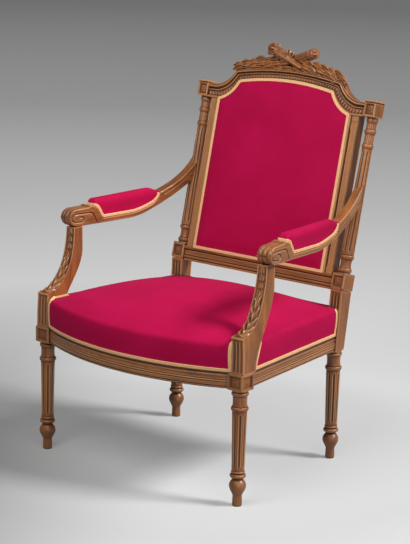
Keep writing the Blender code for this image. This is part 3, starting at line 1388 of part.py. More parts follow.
def back_pad_rings(gap, thickness, insets, shares):
    """Rings over the back's padding, from its rim to near its middle."""
    rings = []
    braid_edge = GIMP_WIDTH - GIMP_ON_WOOD
    for inset in insets:
        rise = BACK_ROLL_CROWN * ease((inset - braid_edge) / (BACK_ROLL - braid_edge))
        depth = BACK_PAD_RIM - rise + thickness
        rings.append([(x, depth, v) for x, v in back_outline(gap + inset + 0.2 * thickness)])
    rim = back_outline(gap + BACK_ROLL)
    middle = (OPENING_TOP + OPENING_BOTTOM) / 2
    for share in shares:
        rise = mix(BACK_CROWN, BACK_ROLL_CROWN, share ** 2)
        depth = BACK_PAD_RIM - rise + thickness
        rings.append([(x * share, depth, mix(middle, v, share)) for x, v in rim])
    return rings


def gimp_frame(depth):
    """Closed braid along the edge of the back's opening."""
    outer = back_outline(-GIMP_ON_WOOD)
    inner = back_outline(GIMP_WIDTH - GIMP_ON_WOOD)
    rings = []
    for (outer_x, outer_v), (inner_x, inner_v) in zip(outer, inner):
        rings.append([(outer_x, depth, outer_v), (inner_x, depth, inner_v),
                      (inner_x, depth + GIMP_THICKNESS, inner_v), (outer_x, depth + GIMP_THICKNESS, outer_v)])
    return loft(rings, loop=True)


def gimp_band(path):
    """Braid along a path of points, each with its direction across and its direction out."""
    rings = []
    for point, across, out in path:
        base = Vector(point) + Vector(out) * FIT_GAP
        wide = Vector(across) * GIMP_WIDTH
        thick = Vector(out) * GIMP_THICKNESS
        rings.append([base, base + wide, base + wide + thick, base + thick])
    return loft(rings)


def build_seat_gimps(root):
    """Braids over the foot of the seat cloth: up both plinths at the front, and along the sides and back."""
    low = COVER_BOTTOM + FIT_GAP
    rises = [seat_wall(share)[1] for share in (WALL_LEVELS[2], WALL_LEVELS[1], WALL_LEVELS[0], swell_start())]
    plinth = SUPPORT_X - SUPPORT_WIDTH / 2 - 2 * FIT_GAP
    end = plinth / (1.0 + (GIMP_THICKNESS + FIT_GAP) / BOW_RADIUS)
    bends = [x for x, y in seat_outline(0.0)[:SEAT_CORNER] if abs(x) < end - GIMP_WIDTH]
    path = [front_gimp_point(-end, z, (1.0, 0.0)) for z in rises]
    path.append(front_gimp_point(-end, low, (1.0, 1.0)))
    path += [front_gimp_point(x, low, (0.0, 1.0)) for x in bends]
    path.append(front_gimp_point(end, low, (-1.0, 1.0)))
    path += [front_gimp_point(end, z, (-1.0, 0.0)) for z in reversed(rises)]
    braid("seat_gimp_front", gimp_band(path), root)
    for side, sign in SIDES:
        path = []
        _, rear_edge = support_edges()
        for z in rises:
            path.append(side_gimp_point(support_rear_y(rear_edge, z) + 3 * FIT_GAP, z, (1.0, 0.0), sign))
        path.append(side_gimp_point(support_rear_y(rear_edge, low) + 3 * FIT_GAP, low, (1.0, 1.0), sign))
        path.append(side_gimp_point(0.0, low, (0.0, 1.0), sign))
        path.append(side_gimp_point(post_front_y(low) - 3 * FIT_GAP, low, (-1.0, 1.0), sign))
        for z in reversed(rises):
            path.append(side_gimp_point(post_front_y(z) - 3 * FIT_GAP, z, (-1.0, 0.0), sign))
        braid(f"seat_gimp_{side}", gimp_band(path), root)
    end = BACK_LEG_X - POST_WIDTH / 2 - 2 * FIT_GAP
    path = [((x, SEAT_BACK_Y, low), (0.0, 0.0, 1.0), (0.0, 1.0, 0.0)) for x in (-end, end)]
    braid("seat_gimp_back", gimp_band(path), root)


def support_rear_y(rear_edge, z):
    """Rear face of the arm support at a level."""
    for (low_y, low_z), (high_y, high_z) in zip(rear_edge, rear_edge[1:]):
        if z <= high_z:
            return mix(low_y, high_y, (z - low_z) / (high_z - low_z))
    return rear_edge[-1][0]


def wall_out(z):
    """How far the seat wall stands out at a level."""
    inset, _ = seat_wall((z - COVER_BOTTOM) / (SEAT_EDGE - COVER_BOTTOM))
    return -inset - COVER_SETBACK


def front_gimp_point(x, z, direction):
    """Place on the front wall of the seat cloth, with the braid's directions there."""
    inset, _ = seat_wall((z - COVER_BOTTOM) / (SEAT_EDGE - COVER_BOTTOM))
    front = seat_outline(inset)[:SEAT_CORNER + 1]
    y = line_at(front, x)
    out = Vector((x, y - BOW_CENTRE_Y, 0.0)).normalized()
    beside = x - math.copysign(0.5 * GIMP_WIDTH, x)
    along = Vector((x - beside, y - line_at(front, beside), 0.0)).normalized()
    if x < 0:
        along = -along
    return (x, y, z), along * direction[0] + Vector((0.0, 0.0, direction[1])), out


def side_gimp_point(y, z, direction, sign):
    """Place on a side wall of the seat cloth, with the braid's directions there."""
    x = side_x(y) + wall_out(z) * SIDE_STRETCH
    along = Vector((sign * SIDE_SLOPE, 1.0, 0.0)).normalized()
    out = Vector((sign * 1.0, -SIDE_SLOPE, 0.0)).normalized()
    return (sign * x, y, z), along * direction[0] + Vector((0.0, 0.0, direction[1])), out


def centre_on_origin(root):
    """Move the chair so that the middle of its outer box stands over the origin."""
    bpy.context.view_layer.update()
    graph = bpy.context.evaluated_depsgraph_get()
    depths = []
    for piece in bpy.data.objects:
        if piece.type in ("MESH", "CURVE") and not piece.hide_render:
            solid = piece.evaluated_get(graph)
            mesh = solid.to_mesh()
            depths += [(solid.matrix_world @ vertex.co).y for vertex in mesh.vertices]
            solid.to_mesh_clear()
    root.location.y = -(min(depths) + max(depths)) / 2


SIDES = (("left", -1), ("right", 1))

for old in list(bpy.data.objects):
    bpy.data.objects.remove(old)

chair = bpy.data.objects.new("armchair", None)
bpy.context.scene.collection.objects.link(chair)
back_frame = bpy.data.objects.new("back_frame", None)
bpy.context.scene.collection.objects.link(back_frame)
back_frame.parent = chair
back_frame.location = (0.0, BACK_PLANE_Y, DADO_TOP)
back_frame.rotation_euler = (-BACK_RAKE, 0.0, 0.0)

front_legs = {side: build_front_leg(side, sign, chair) for side, sign in SIDES}
back_posts = {side: build_back_post(side, sign, chair) for side, sign in SIDES}
front_seat_rail = build_front_rail(chair)
side_seat_rails = {side: build_side_rail(side, sign, chair) for side, sign in SIDES}
back_seat_rail = build_back_rail(chair)
join_seat_frame(front_legs, back_posts, front_seat_rail, side_seat_rails, back_seat_rail, chair)
build_braces(chair)

arm_supports = {}
for side, sign in SIDES:
    arm_supports[side] = build_arm_support(side, sign, front_legs[side], side_seat_rails[side], chair)
    build_arm(side, sign, arm_supports[side], back_posts[side], chair)
    build_arm_pad(side, sign, chair)
    build_arm_gimp(side, sign, chair)

crest_rail = build_crest_rail(back_frame)
back_bottom_rail = build_back_bottom_rail(back_frame)
back_stiles = {side: build_back_stile(side, sign, back_frame) for side, sign in SIDES}
join_back_frame(back_posts, crest_rail, back_bottom_rail, back_stiles, back_frame)
build_torch(back_frame)
build_quiver(back_frame)
for side, sign in SIDES:
    build_laurel(side, sign, back_frame)

build_webbing(chair)
build_dust_cover(chair)
build_springs(chair)
build_seat_hessian(chair)
build_seat_stuffing(chair)
build_seat_cover(chair)
build_seat_gimps(chair)
build_back_upholstery(back_frame)

centre_on_origin(chair)
print(f"Least gap between the turns of a spring: {1000 * least_spring_gap():.2f} mm")
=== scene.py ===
"""Carved open armchair in waxed walnut with crimson cloth and gold gimp, dressed over its fixed frame."""

import math

import bmesh
import bpy
import numpy as np
from mathutils import Matrix, Vector


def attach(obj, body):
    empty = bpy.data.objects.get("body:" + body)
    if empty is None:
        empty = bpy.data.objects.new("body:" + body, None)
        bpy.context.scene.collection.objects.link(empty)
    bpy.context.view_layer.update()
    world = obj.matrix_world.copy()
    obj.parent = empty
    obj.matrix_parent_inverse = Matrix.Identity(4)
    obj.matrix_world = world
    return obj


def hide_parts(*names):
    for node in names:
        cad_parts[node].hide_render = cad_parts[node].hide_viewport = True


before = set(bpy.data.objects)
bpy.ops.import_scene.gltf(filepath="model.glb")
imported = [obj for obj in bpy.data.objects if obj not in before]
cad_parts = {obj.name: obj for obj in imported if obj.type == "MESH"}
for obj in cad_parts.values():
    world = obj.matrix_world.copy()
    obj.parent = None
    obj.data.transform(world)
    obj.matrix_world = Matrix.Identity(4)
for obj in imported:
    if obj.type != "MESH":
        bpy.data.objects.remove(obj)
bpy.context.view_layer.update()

# Camera: a long lens a little above the arms, in front of the chair and to its right, slightly tilted.
# The shift puts the chair where the photograph has it in a frame 410 wide and 544 high.
camera_place = Vector((2.9221, -3.5705, 1.5171))
camera_aim = Vector((0.0, -0.0487, 0.432))
camera_roll = math.radians(1.356)
forward = (camera_aim - camera_place).normalized()
level = forward.cross(Vector((0.0, 0.0, 1.0))).normalized()
upright = level.cross(forward)
camera_right = level * math.cos(camera_roll) + upright * math.sin(camera_roll)
camera_up = upright * math.cos(camera_roll) - level * math.sin(camera_roll)
camera = bpy.data.objects.new("camera", bpy.data.cameras.new("camera"))
bpy.context.scene.collection.objects.link(camera)
camera_turn = Matrix((camera_right, camera_up, -forward)).transposed()
camera.matrix_world = Matrix.Translation(camera_place) @ camera_turn.to_4x4()
camera.data.sensor_width = 36.0
camera.data.lens = 123.6
camera.data.shift_x = 0.0172
camera.data.shift_y = 0.0388
bpy.context.scene.camera = camera
bpy.context.scene.view_settings.view_transform = "Standard"


# Studio: one wide pale floor, painted darker with distance from the chair, a painted falloff of light such as
# a lit studio sweep shows.
# A soft lamp stands high on the right, weaker ones lower in front of it and on the left, and a round soft
# box hangs in front above the chair.
def srgb(code):
    """Linear colour with alpha from a hex code."""
    values = [int(code[k:k + 2], 16) / 255 for k in (1, 3, 5)]
    linear = [value / 12.92 if value <= 0.04045 else ((value + 0.055) / 1.055) ** 2.4 for value in values]
    return linear + [1.0]


def add_node(tree, kind, settings, links):
    """Add a node: lower-case settings are its own, the others are values of its inputs, as links are."""
    node = tree.nodes.new(kind)
    for name, value in settings.items():
        if isinstance(name, str) and name[0].islower():
            setattr(node, name, value)
        else:
            node.inputs[name].default_value = value
    for name, socket in links.items():
        tree.links.new(socket, node.inputs[name])
    return node


def new_material(name):
    """Empty procedural material, with its tree and its shader."""
    material = bpy.data.materials.new(name)
    material.use_nodes = True
    return material, material.node_tree, material.node_tree.nodes["Principled BSDF"]


def in_sight(tree):
    """Node that gives 1 for what is seen straight, in a gloss or through glass, and 0 for other light."""
    ray = add_node(tree, "ShaderNodeLightPath", {}, {})
    seen = add_node(tree, "ShaderNodeMath", {"operation": "MAXIMUM"},
                    {0: ray.outputs["Is Camera Ray"], 1: ray.outputs["Is Glossy Ray"]})
    return add_node(tree, "ShaderNodeMath", {"operation": "MAXIMUM"},
                    {0: seen.outputs[0], 1: ray.outputs["Is Transmission Ray"]})


floor_reach = 60.0
floor_tones = ((0.0, "#c2c2c2"), (0.044, "#c4c4c4"), (0.058, "#cecece"), (0.12, "#c1c1c1"),
               (0.245, "#aaaaaa"), (0.47, "#888888"), (1.0, "#676767"))
floor_glow = 0.38
floor_fade = 14.3
floor_mesh = bpy.data.meshes.new("studio_floor")
floor_turns = np.linspace(0, 2 * np.pi, 65)[:-1]
floor_corners = [(floor_reach * math.cos(turn), floor_reach * math.sin(turn), 0.0) for turn in floor_turns]
floor_mesh.from_pydata(floor_corners, [], [list(range(len(floor_corners)))])
floor = bpy.data.objects.new("studio_floor", floor_mesh)
bpy.context.scene.collection.objects.link(floor)

# Matt painted studio floor: pale by the chair and greyer with distance, a painted falloff of light. Within
# about 0.7 m of the chair it is a little darker, painted shade that evens out the top box's pool of light.
floor_paint, tree, shader = new_material("Matt studio paint")
place = add_node(tree, "ShaderNodeTexCoord", {}, {})
distance = add_node(tree, "ShaderNodeVectorMath", {"operation": "LENGTH"}, {0: place.outputs["Object"]})
share = add_node(tree, "ShaderNodeMath", {"operation": "DIVIDE", 1: floor_fade},
                 {0: distance.outputs["Value"]})
tones = add_node(tree, "ShaderNodeValToRGB", {}, {"Fac": share.outputs[0]})
for position, _ in floor_tones[1:-1]:
    tones.color_ramp.elements.new(position)
for element, (position, code) in zip(tones.color_ramp.elements, floor_tones):
    element.position = position
    element.color = srgb(code)
# Painted shade: on the left of the chair, away from the lamps, the floor near it is painted darker, standing
# in for the wide soft edge of the chair's shadow
leftward = add_node(tree, "ShaderNodeVectorMath", {"operation": "DOT_PRODUCT", 1: (0.774, 0.633, 0.0)},
                    {0: place.outputs["Object"]})
painted_left_shade = add_node(tree, "ShaderNodeMapRange", {"interpolation_type": "SMOOTHSTEP", 1: -0.05, 2: -0.75, 4: 0.52},
               {0: leftward.outputs["Value"]})
near = add_node(tree, "ShaderNodeMapRange", {1: 0.8, 2: 2.0, 3: 1.0, 4: 0.0}, {0: distance.outputs["Value"]})
painted_shade_share = add_node(tree, "ShaderNodeMath", {"operation": "MULTIPLY"}, {0: painted_left_shade.outputs[0], 1: near.outputs[0]})
tones_with_painted_shade = add_node(tree, "ShaderNodeMix", {"data_type": "RGBA", 7: srgb("#000000")},
                  {0: painted_shade_share.outputs[0], 6: tones.outputs["Color"]})
# Painted light: where seen straight or in a gloss, the floor shows its tones and also glows, which lifts its
# shadows. The light it sends on to the chair is a plain grey instead, for deeper shade on the chair's lower
# fronts
shown = in_sight(tree)
seen_tone_or_grey_bounce = add_node(tree, "ShaderNodeMix", {"data_type": "RGBA", 6: srgb("#8a8a8a")},
                 {0: shown.outputs[0], 7: tones_with_painted_shade.outputs[2]})
tree.links.new(seen_tone_or_grey_bounce.outputs[2], shader.inputs["Base Color"])
glow = add_node(tree, "ShaderNodeMath", {"operation": "MULTIPLY", 1: floor_glow}, {0: shown.outputs[0]})
tree.links.new(tones_with_painted_shade.outputs[2], shader.inputs["Emission Color"])
tree.links.new(glow.outputs[0], shader.inputs["Emission Strength"])
shader.inputs["Roughness"].default_value = 0.9
shader.inputs["Specular IOR Level"].default_value = 0.1
floor_mesh.materials.append(floor_paint)

for lamp_name, toward, strength, spread in (("key_lamp", (0.636, 0.308, 0.707), 2.80, 17.0),
                                            ("side_lamp", (0.80, -0.45, 0.40), 0.72, 40.0),
                                            ("fill_lamp", (-0.60, -0.60, 0.53), 0.10, 60.0)):
    lamp_data = bpy.data.lights.new(lamp_name, "SUN")
    lamp_data.energy = strength
    lamp_data.angle = math.radians(spread)
    lamp = bpy.data.objects.new(lamp_name, lamp_data)
    lamp.rotation_euler = Vector(toward).to_track_quat("Z", "Y").to_euler()
    bpy.context.scene.collection.objects.link(lamp)

box_data = bpy.data.lights.new("top_box", "AREA")
box_data.energy = 7.0
box_data.shape = "DISK"
box_data.size = 1.1
box_data.spread = math.radians(100.0)
top_box = bpy.data.objects.new("top_box", box_data)
top_box.location = (0.22, -1.13, 1.72)
top_box.rotation_euler = (top_box.location - Vector((0.08, 0.33, 0.86))).to_track_quat("Z", "Y").to_euler()
top_box.visible_camera = False
bpy.context.scene.collection.objects.link(top_box)

studio = bpy.data.worlds.new("studio")
bpy.context.scene.world = studio
studio.use_nodes = True
tree = studio.node_tree
tree.nodes.clear()
shown = in_sight(tree)
glow = add_node(tree, "ShaderNodeBackground", {"Color": srgb("#ffffff"), "Strength": 0.02}, {})
backdrop = add_node(tree, "ShaderNodeBackground", {"Color": srgb("#6f6f6f"), "Strength": 1.0}, {})
mixed = add_node(tree, "ShaderNodeMixShader", {},
                 {0: shown.outputs[0], 1: glow.outputs[0], 2: backdrop.outputs[0]})
add_node(tree, "ShaderNodeOutputWorld", {}, {"Surface": mixed.outputs[0]})


# Front legs: turned walnut with a foot, a bulb, rings and a fluted shaft, and a square block on top
# with a sunk rosette on each outer face. The rails and the arm support are tenoned into the block.
chair_shift = np.array((0.0, -0.0486832, 0.0))
leg_height = 0.288
front_leg = (0.315, -0.207)
block_half = 0.023
block_top = 0.328
shaft_low = 0.0900
shaft_high = 0.2345
shaft_radii = (0.0155, 0.0180)
flute_count = 8
# Bend radius at which hollows darken with wax and edges are painted pale, as wear and as painted highlight
turned_wear_and_highlight = 0.0020


def mix(a, b, share):
    """Value between two others."""
    return a + (b - a) * share


def ease(share):
    """Smooth step from 0 to 1."""
    share = np.clip(share, 0.0, 1.0)
    return share * share * (3.0 - 2.0 * share)


def walnut(name, along):
    """Waxed walnut with its grain along one axis: 0 across the chair, 1 front to back, 2 upright."""
    material, tree, shader = new_material(name)
    place = add_node(tree, "ShaderNodeTexCoord", {}, {})
    # Figure is about 30 mm wide and 250 mm long, grain lines 2.5 mm wide and 70 mm long. Real pores are
    # ten times finer and would not show.
    patterns = []
    for across, length, detail in ((0.030, 0.25, 3.0), (0.0025, 0.07, 2.0)):
        scale = [1 / across] * 3
        scale[along] = 1 / length
        stretched = add_node(tree, "ShaderNodeMapping", {"Scale": scale}, {"Vector": place.outputs["Object"]})
        noise = add_node(tree, "ShaderNodeTexNoise", {"Scale": 1.0, "Detail": detail, "Roughness": 0.6},
                         {"Vector": stretched.outputs[0]})
        patterns.append(noise.outputs["Fac"])
    figure = add_node(tree, "ShaderNodeMapRange", {1: 0.3, 2: 0.7}, {0: patterns[0]})
    ground = add_node(tree, "ShaderNodeMix", {"data_type": "RGBA", 6: srgb("#794627"), 7: srgb("#ad6c39")},
                      {0: figure.outputs[0]})
    lines = add_node(tree, "ShaderNodeMapRange", {1: 0.48, 2: 0.68, 4: 0.55}, {0: patterns[1]})
    grained = add_node(tree, "ShaderNodeMix", {"data_type": "RGBA", 7: srgb("#4f2c19")},
                       {0: lines.outputs[0], 6: ground.outputs[2]})
    # Old wax and dust stay dark in the hollows, and edges are rubbed pale, with a painted highlight on them
    # as well
    hollowness = add_node(tree, "ShaderNodeAttribute", {"attribute_name": "hollow"}, {})
    rubbed_and_highlit = add_node(tree, "ShaderNodeMapRange", {1: -0.25, 2: -1.0, 4: 0.80}, {0: hollowness.outputs["Fac"]})
    worn_and_highlit = add_node(tree, "ShaderNodeMix", {"data_type": "RGBA", 7: srgb("#cc9464")},
                    {0: rubbed_and_highlit.outputs[0], 6: grained.outputs[2]})
    sunk = add_node(tree, "ShaderNodeMapRange", {1: 0.05, 2: 0.9, 4: 0.9}, {0: hollowness.outputs["Fac"]})
    # Painted shade: recesses, and places close beside other parts, are darkened by occlusion within 10 mm;
    # this adds to the wax in the hollows
    shade_occlusion = add_node(tree, "ShaderNodeAmbientOcclusion", {"samples": 6, "Distance": 0.010}, {})
    painted_shade = add_node(tree, "ShaderNodeMapRange", {1: 0.80, 2: 0.25, 4: 0.85}, {0: shade_occlusion.outputs["AO"]})
    patina_and_painted_shade = add_node(tree, "ShaderNodeMath", {"operation": "MAXIMUM"},
                     {0: sunk.outputs[0], 1: painted_shade.outputs[0]})
    aged_and_shaded = add_node(tree, "ShaderNodeMix", {"data_type": "RGBA", 7: srgb("#1e0f08")},
                    {0: patina_and_painted_shade.outputs[0], 6: worn_and_highlit.outputs[2]})
    tree.links.new(aged_and_shaded.outputs[2], shader.inputs["Base Color"])
    gloss = add_node(tree, "ShaderNodeMapRange", {1: -1.0, 2: 1.0, 3: 0.22, 4: 0.56}, {0: hollowness.outputs["Fac"]})
    tree.links.new(gloss.outputs[0], shader.inputs["Roughness"])
    relief = add_node(tree, "ShaderNodeBump", {"Strength": 0.25, "Distance": 0.0004}, {"Height": patterns[1]})
    tree.links.new(relief.outputs[0], shader.inputs["Normal"])
    shader.inputs["IOR"].default_value = 1.5
    shader.inputs["Specular IOR Level"].default_value = 0.5
    return material


walnut_upright = walnut("Waxed walnut, upright grain", 2)
walnut_across = walnut("Waxed walnut, grain across the chair", 0)
walnut_deep = walnut("Waxed walnut, grain front to back", 1)


def shell(rings, loop=False):
    """Points and faces of a skin over rings with the same number of points, capped unless it is a loop."""
    rings = np.asarray(rings, dtype=float)
    rows, count = rings.shape[:2]
    index = np.arange(rows * count).reshape(rows, count)
    lower = index if loop else index[:-1]
    upper = np.roll(index, -1, axis=0) if loop else index[1:]
    quads = np.stack((lower, np.roll(lower, -1, axis=1), np.roll(upper, -1, axis=1), upper), axis=-1)
    faces = quads.reshape(-1, 4).tolist()
    if not loop:
        faces += [index[0][::-1].tolist(), index[-1].tolist()]
    return rings.reshape(-1, 3), faces


def make_mesh(name, shells):
    """Mesh of one or more shells, with its faces pointing out, set where the frame's origin needs it."""
    points, faces = [], []
    for shell_points, shell_faces in shells:
        start = sum(len(part) for part in points)
        points.append(shell_points + chair_shift)
        faces += [[corner + start for corner in face] for face in shell_faces]
    mesh = bpy.data.meshes.new(name)
    mesh.from_pydata(np.concatenate(points).tolist(), [], faces)
    bm = bmesh.new()
    bm.from_mesh(mesh)
    bmesh.ops.recalc_face_normals(bm, faces=bm.faces)
    bm.to_mesh(mesh)
    bm.free()
    return mesh


def add_piece(name, mesh, material, nodes, crease=35):
    """Object with its material, riding on the chair in place of its solids."""
    mesh.materials.append(material)
    mesh.shade_smooth()
    mesh.set_sharp_from_angle(angle=math.radians(crease))
    piece = bpy.data.objects.new(name, mesh)
    bpy.context.scene.collection.objects.link(piece)
    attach(piece, "root")
    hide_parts(*nodes)
    return piece


def store_hollows(mesh, radius, painted_front_light=0.0):
    """Store how hollow (up to 1) or edged (down to -1) each point is, beside a bend of a radius; faces that
    look forward can be lowered too, so that they are painted pale as painted light.
    """
    count = len(mesh.vertices)
    points = np.empty(3 * count)
    normals = np.empty(3 * count)
    mesh.vertices.foreach_get("co", points)
    mesh.vertices.foreach_get("normal", normals)
    points, normals = points.reshape(-1, 3), normals.reshape(-1, 3)
    ends = np.empty(2 * len(mesh.edges), dtype=int)
    mesh.edges.foreach_get("vertices", ends)
    first, second = ends.reshape(-1, 2).T
    step = points[second] - points[first]
    bend = ((normals[first] - normals[second]) * step).sum(axis=1) / np.maximum((step ** 2).sum(axis=1), 1e-9)
    strong = np.bincount(ends, np.repeat(bend * np.abs(bend), 2), count)
    total = np.bincount(ends, np.repeat(np.abs(bend), 2), count)
    hollow = np.clip(radius * strong / (total + 1e-6), -1.0, 1.0)
    around = np.bincount(first, hollow[second], count) + np.bincount(second, hollow[first], count)
    hollow = mix(hollow, around / np.maximum(np.bincount(ends, minlength=count), 1), 0.4)
    # Painted light: flat faces that look forward are painted pale, as if lit from the front
    hollow = hollow - painted_front_light * (hollow < 0.2) * (normals[:, 1] < -0.6)
    mesh.attributes.new("hollow", "FLOAT", "POINT").data.foreach_set("value", hollow.astype(np.float32))


def carve(name, shells, material, nodes, radius=0.0028, painted_front_light=0.0):
    """Walnut piece whose hollows are stored for wax to darken, whose edges are stored to be rubbed pale and
    painted with a highlight, and whose forward faces can be painted pale as painted light.
    """
    mesh = make_mesh(name, shells)
    store_hollows(mesh, radius, painted_front_light)
    return add_piece(name, mesh, material, nodes)


def bead(low, high, core, outer):
    """Radius and height over a half-round turned ring."""
    turns = np.linspace(0.0, np.pi, 9)
    return [(mix(core, outer, math.sin(turn)), mix(low, high, (1 - math.cos(turn)) / 2)) for turn in turns]


def evened(profile):
    """Turned profile with a point about every 1.3 mm along it."""
    profile = np.array(profile)
    run = np.concatenate(((0.0,), np.cumsum(np.hypot(*np.diff(profile, axis=0).T))))
    places = np.linspace(0.0, run[-1], int(run[-1] / 0.0013))
    return np.stack([np.interp(places, run, profile[:, k]) for k in (0, 1)], axis=1)


def leg_profile():
    """Radius and height up a turned leg."""
    profile = [(0.0103, 0.0), (0.0115, 0.001), (0.0120, 0.004), (0.0116, 0.016), (0.0113, 0.024)]
    for share in np.linspace(0.06, 1.0, 16):
        profile.append((mix(0.0108, 0.0208, math.sin(math.pi * share ** 1.3)), mix(0.025, 0.0690, share)))
    profile += bead(0.0700, 0.0815, 0.0132, 0.0197)
    profile += [(0.0150, 0.0830), (0.0170, 0.0845), (0.0168, 0.0870), (0.0150, 0.0885)]
    for share in np.linspace(0.0, 1.0, 40):
        profile.append((mix(*shaft_radii, share), mix(shaft_low, shaft_high, share)))
    profile += bead(0.2360, 0.2470, 0.0174, 0.0214)
    profile += [(0.0180, 0.2485), (0.0171, 0.2530), (0.0170, 0.2620), (0.0174, 0.2715)]
    profile += bead(0.2735, 0.2825, 0.0176, 0.0208)
    profile += [(0.0190, 0.2840), (0.0202, 0.2850), (0.0202, 0.2880)]
    return evened(profile)


def flute_depth(turn, height, low, high, count, width, depth):
    """Depth of round-ended flutes at a turn round a shaft and a height up it."""
    pitch = 2 * np.pi / count
    across = ((turn + pitch / 2) % pitch - pitch / 2) / (pitch * width / 2)
    near_end = np.clip(np.minimum(height - low, high - height) / 0.004, 0.0, 1.0)
    spread = np.sqrt(1.0 - (1.0 - near_end) ** 2)
    return depth * spread * np.sqrt(np.clip(1.0 - (across / np.maximum(spread, 0.01)) ** 2, 0.0, 1.0))


def turned_rings(profile, place, sides, cut):
    """Rings of a turned piece: place sets offsets and heights in the chair, cut is its flutes' depth."""
    turn = np.linspace(0.0, 2 * np.pi, sides, endpoint=False)[None, :]
    height = profile[:, 1:]
    radius = profile[:, :1] - cut(turn, height)
    return place(radius * np.cos(turn), radius * np.sin(turn), height + 0 * turn)


def block_rings(place, half_x, half_y, relief, across=22, up=22):
    """Rings up a square block whose front and outer faces are sunk by relief(face, u, w)."""
    u = np.linspace(-1.0, 1.0, across, endpoint=False)
    flat = np.ones(across)
    dx = np.concatenate((u, flat, -u, -flat))[None, :]
    dy = np.concatenate((-flat, u, flat, -u))[None, :]
    w = np.linspace(-1.0, 1.0, up)[:, None]
    soft = 0.0009 * ((np.abs(dx) > 0.97) & (np.abs(dy) > 0.97)) + 0.0009 * (np.abs(w) > 0.99)
    faces = np.repeat((0, 1, 2, 3), across)[None, :]
    sunk_front = np.where(faces == 0, relief(0, dx + 0 * w, w + 0 * dx), 0.0)
    sunk_outer = np.where(faces == 1, relief(1, dy + 0 * w, w + 0 * dy), 0.0)
    return place(dx * (half_x - soft) - sunk_outer, dy * (half_y - soft) + sunk_front, w + 0 * dx)


def sunk_rosette(u, w, depth):
    """Depth below a face of a sunk square that holds a carved rosette of eight petals."""
    panel = ease((0.74 - np.maximum(np.abs(u), np.abs(w))) / 0.10)
    out = np.hypot(u, w) / 0.54
    turn = np.arctan2(w, u)
    ripple = 0.55 + 0.45 * np.cos(8 * turn)
    petals = np.sqrt(np.clip(1.0 - out ** 2, 0.0, 1.0)) * ripple * ease((out - 0.15) / 0.2)
    boss = np.sqrt(np.clip(1.0 - (out / 0.30) ** 2, 0.0, 1.0))
    return depth * panel * (1.0 - np.maximum(0.60 * petals, boss))


def leg_cut(turn, height):
    """Flutes down the shaft of a leg."""
    return flute_depth(turn, height, shaft_low + 0.007, shaft_high - 0.006, flute_count, 0.42, 0.0026)


def leg_block(face, u, w):
    """Rosettes on the front and the outer face of a front leg's block."""
    return sunk_rosette(u, w, 0.0045)


sides = (("left", -1), ("right", 1))
for side, sign in sides:
    leg = turned_rings(leg_profile(), lambda dx, dy, z: np.stack(
        (sign * (front_leg[0] + dx), front_leg[1] + dy, z), axis=-1), 120, leg_cut)
    block = block_rings(lambda dx, dy, w: np.stack(
        (sign * (front_leg[0] + dx), front_leg[1] + dy, mix(leg_height, block_top, (w + 1) / 2)), axis=-1),
        block_half, block_half, leg_block)
    carve(f"carved_front_leg_{side}", [shell(leg), shell(block)], walnut_upright, [f"front_leg_{side}"],
          turned_wear_and_highlight)


# Back posts: each is one length of walnut, with a turned leg, a square post with three flutes, a dado
# with a rosette, a raked fluted column with ringed base and capital, and a block with a rosette on top.
back_leg = (0.261, 0.2425)
rake = math.radians(12.8)
back_plane_y = 0.2439
dado_top = 0.4885
dado_x = 0.265
column_height = 0.399
column_depth = 0.0235
column_radii = (0.0167, 0.0129)
column_shaft = (0.0495, 0.3185)


def raked(x, depth, v):
    """Place behind the front plane of the back, at a height along that plane."""
    y = back_plane_y + depth * math.cos(rake) + v * math.sin(rake)
    z = dado_top - depth * math.sin(rake) + v * math.cos(rake)
    return np.stack((x + 0 * y, y + 0 * x, z + 0 * x), axis=-1)


def column_x(v):
    """Half distance between the column axes, which splay a little upwards."""
    return dado_x + 0.0062 * v / column_height


def column_profile():
    """Radius and height up the turned column."""
    profile = [(0.0165, 0.0), (0.0165, 0.002)]
    profile += bead(0.003, 0.014, 0.0150, 0.01825)
    profile += [(0.0146, 0.0155), (0.0138, 0.0200), (0.0138, 0.0300), (0.0146, 0.0355)]
    profile += bead(0.037, 0.048, 0.0150, 0.01825)
    for share in np.linspace(0.0, 1.0, 60):
        profile.append((mix(*column_radii, share), mix(*column_shaft, share)))
    profile += bead(0.320, 0.331, 0.0125, 0.01525)
    profile += [(0.0125, 0.3325), (0.0125, 0.3555)]
    profile += bead(0.357, 0.368, 0.0125, 0.01525)
    profile += [(0.0128, 0.3695), (0.0128, 0.3840)]
    profile += bead(0.386, 0.396, 0.0135, 0.01525)
    profile += [(0.0155, 0.3975), (0.0155, 0.3992)]
    return evened(profile)


def column_cut(turn, height):
    """Flutes down the column, and fine reeds round the drums of its base and capital."""
    shaft = flute_depth(turn, height, column_shaft[0] + 0.006, column_shaft[1] - 0.006, 8, 0.45, 0.0016)
    reeded = ((height > 0.333) & (height < 0.355)) | ((height > 0.370) & (height < 0.384))
    return shaft + 0.0005 * reeded * (1.0 - np.abs(np.cos(8 * turn)))


def post_relief(face, u, w):
    """Three flutes down the front of the square post."""
    across = (u * 1.9 + 0.5) % 1.0 - 0.5
    depth = np.sqrt(np.clip(1.0 - (across / 0.36) ** 2, 0.0, 1.0)) * (np.abs(u) < 0.80)
    return 0.0022 * depth * ease((0.90 - np.abs(w)) / 0.04) * (face == 0)


def dado_relief(face, u, w):
    """Rosette on the front of the dado, between two small fillets."""
    fillets = 0.0012 * ((np.abs(np.abs(w) - 0.86)) < 0.05)
    return sunk_rosette(u * 1.02, w * 1.08, 0.0036) * (face == 0) + fillets


def top_relief(face, u, w):
    """Rosette on the front of the top block, under a moulded edge."""
    moulding = 0.0014 * (np.abs(w - 0.74) < 0.06) - 0.0010 * (w > 0.80)
    return sunk_rosette(u, w * 1.12 + 0.12, 0.0040) * (face == 0) + moulding


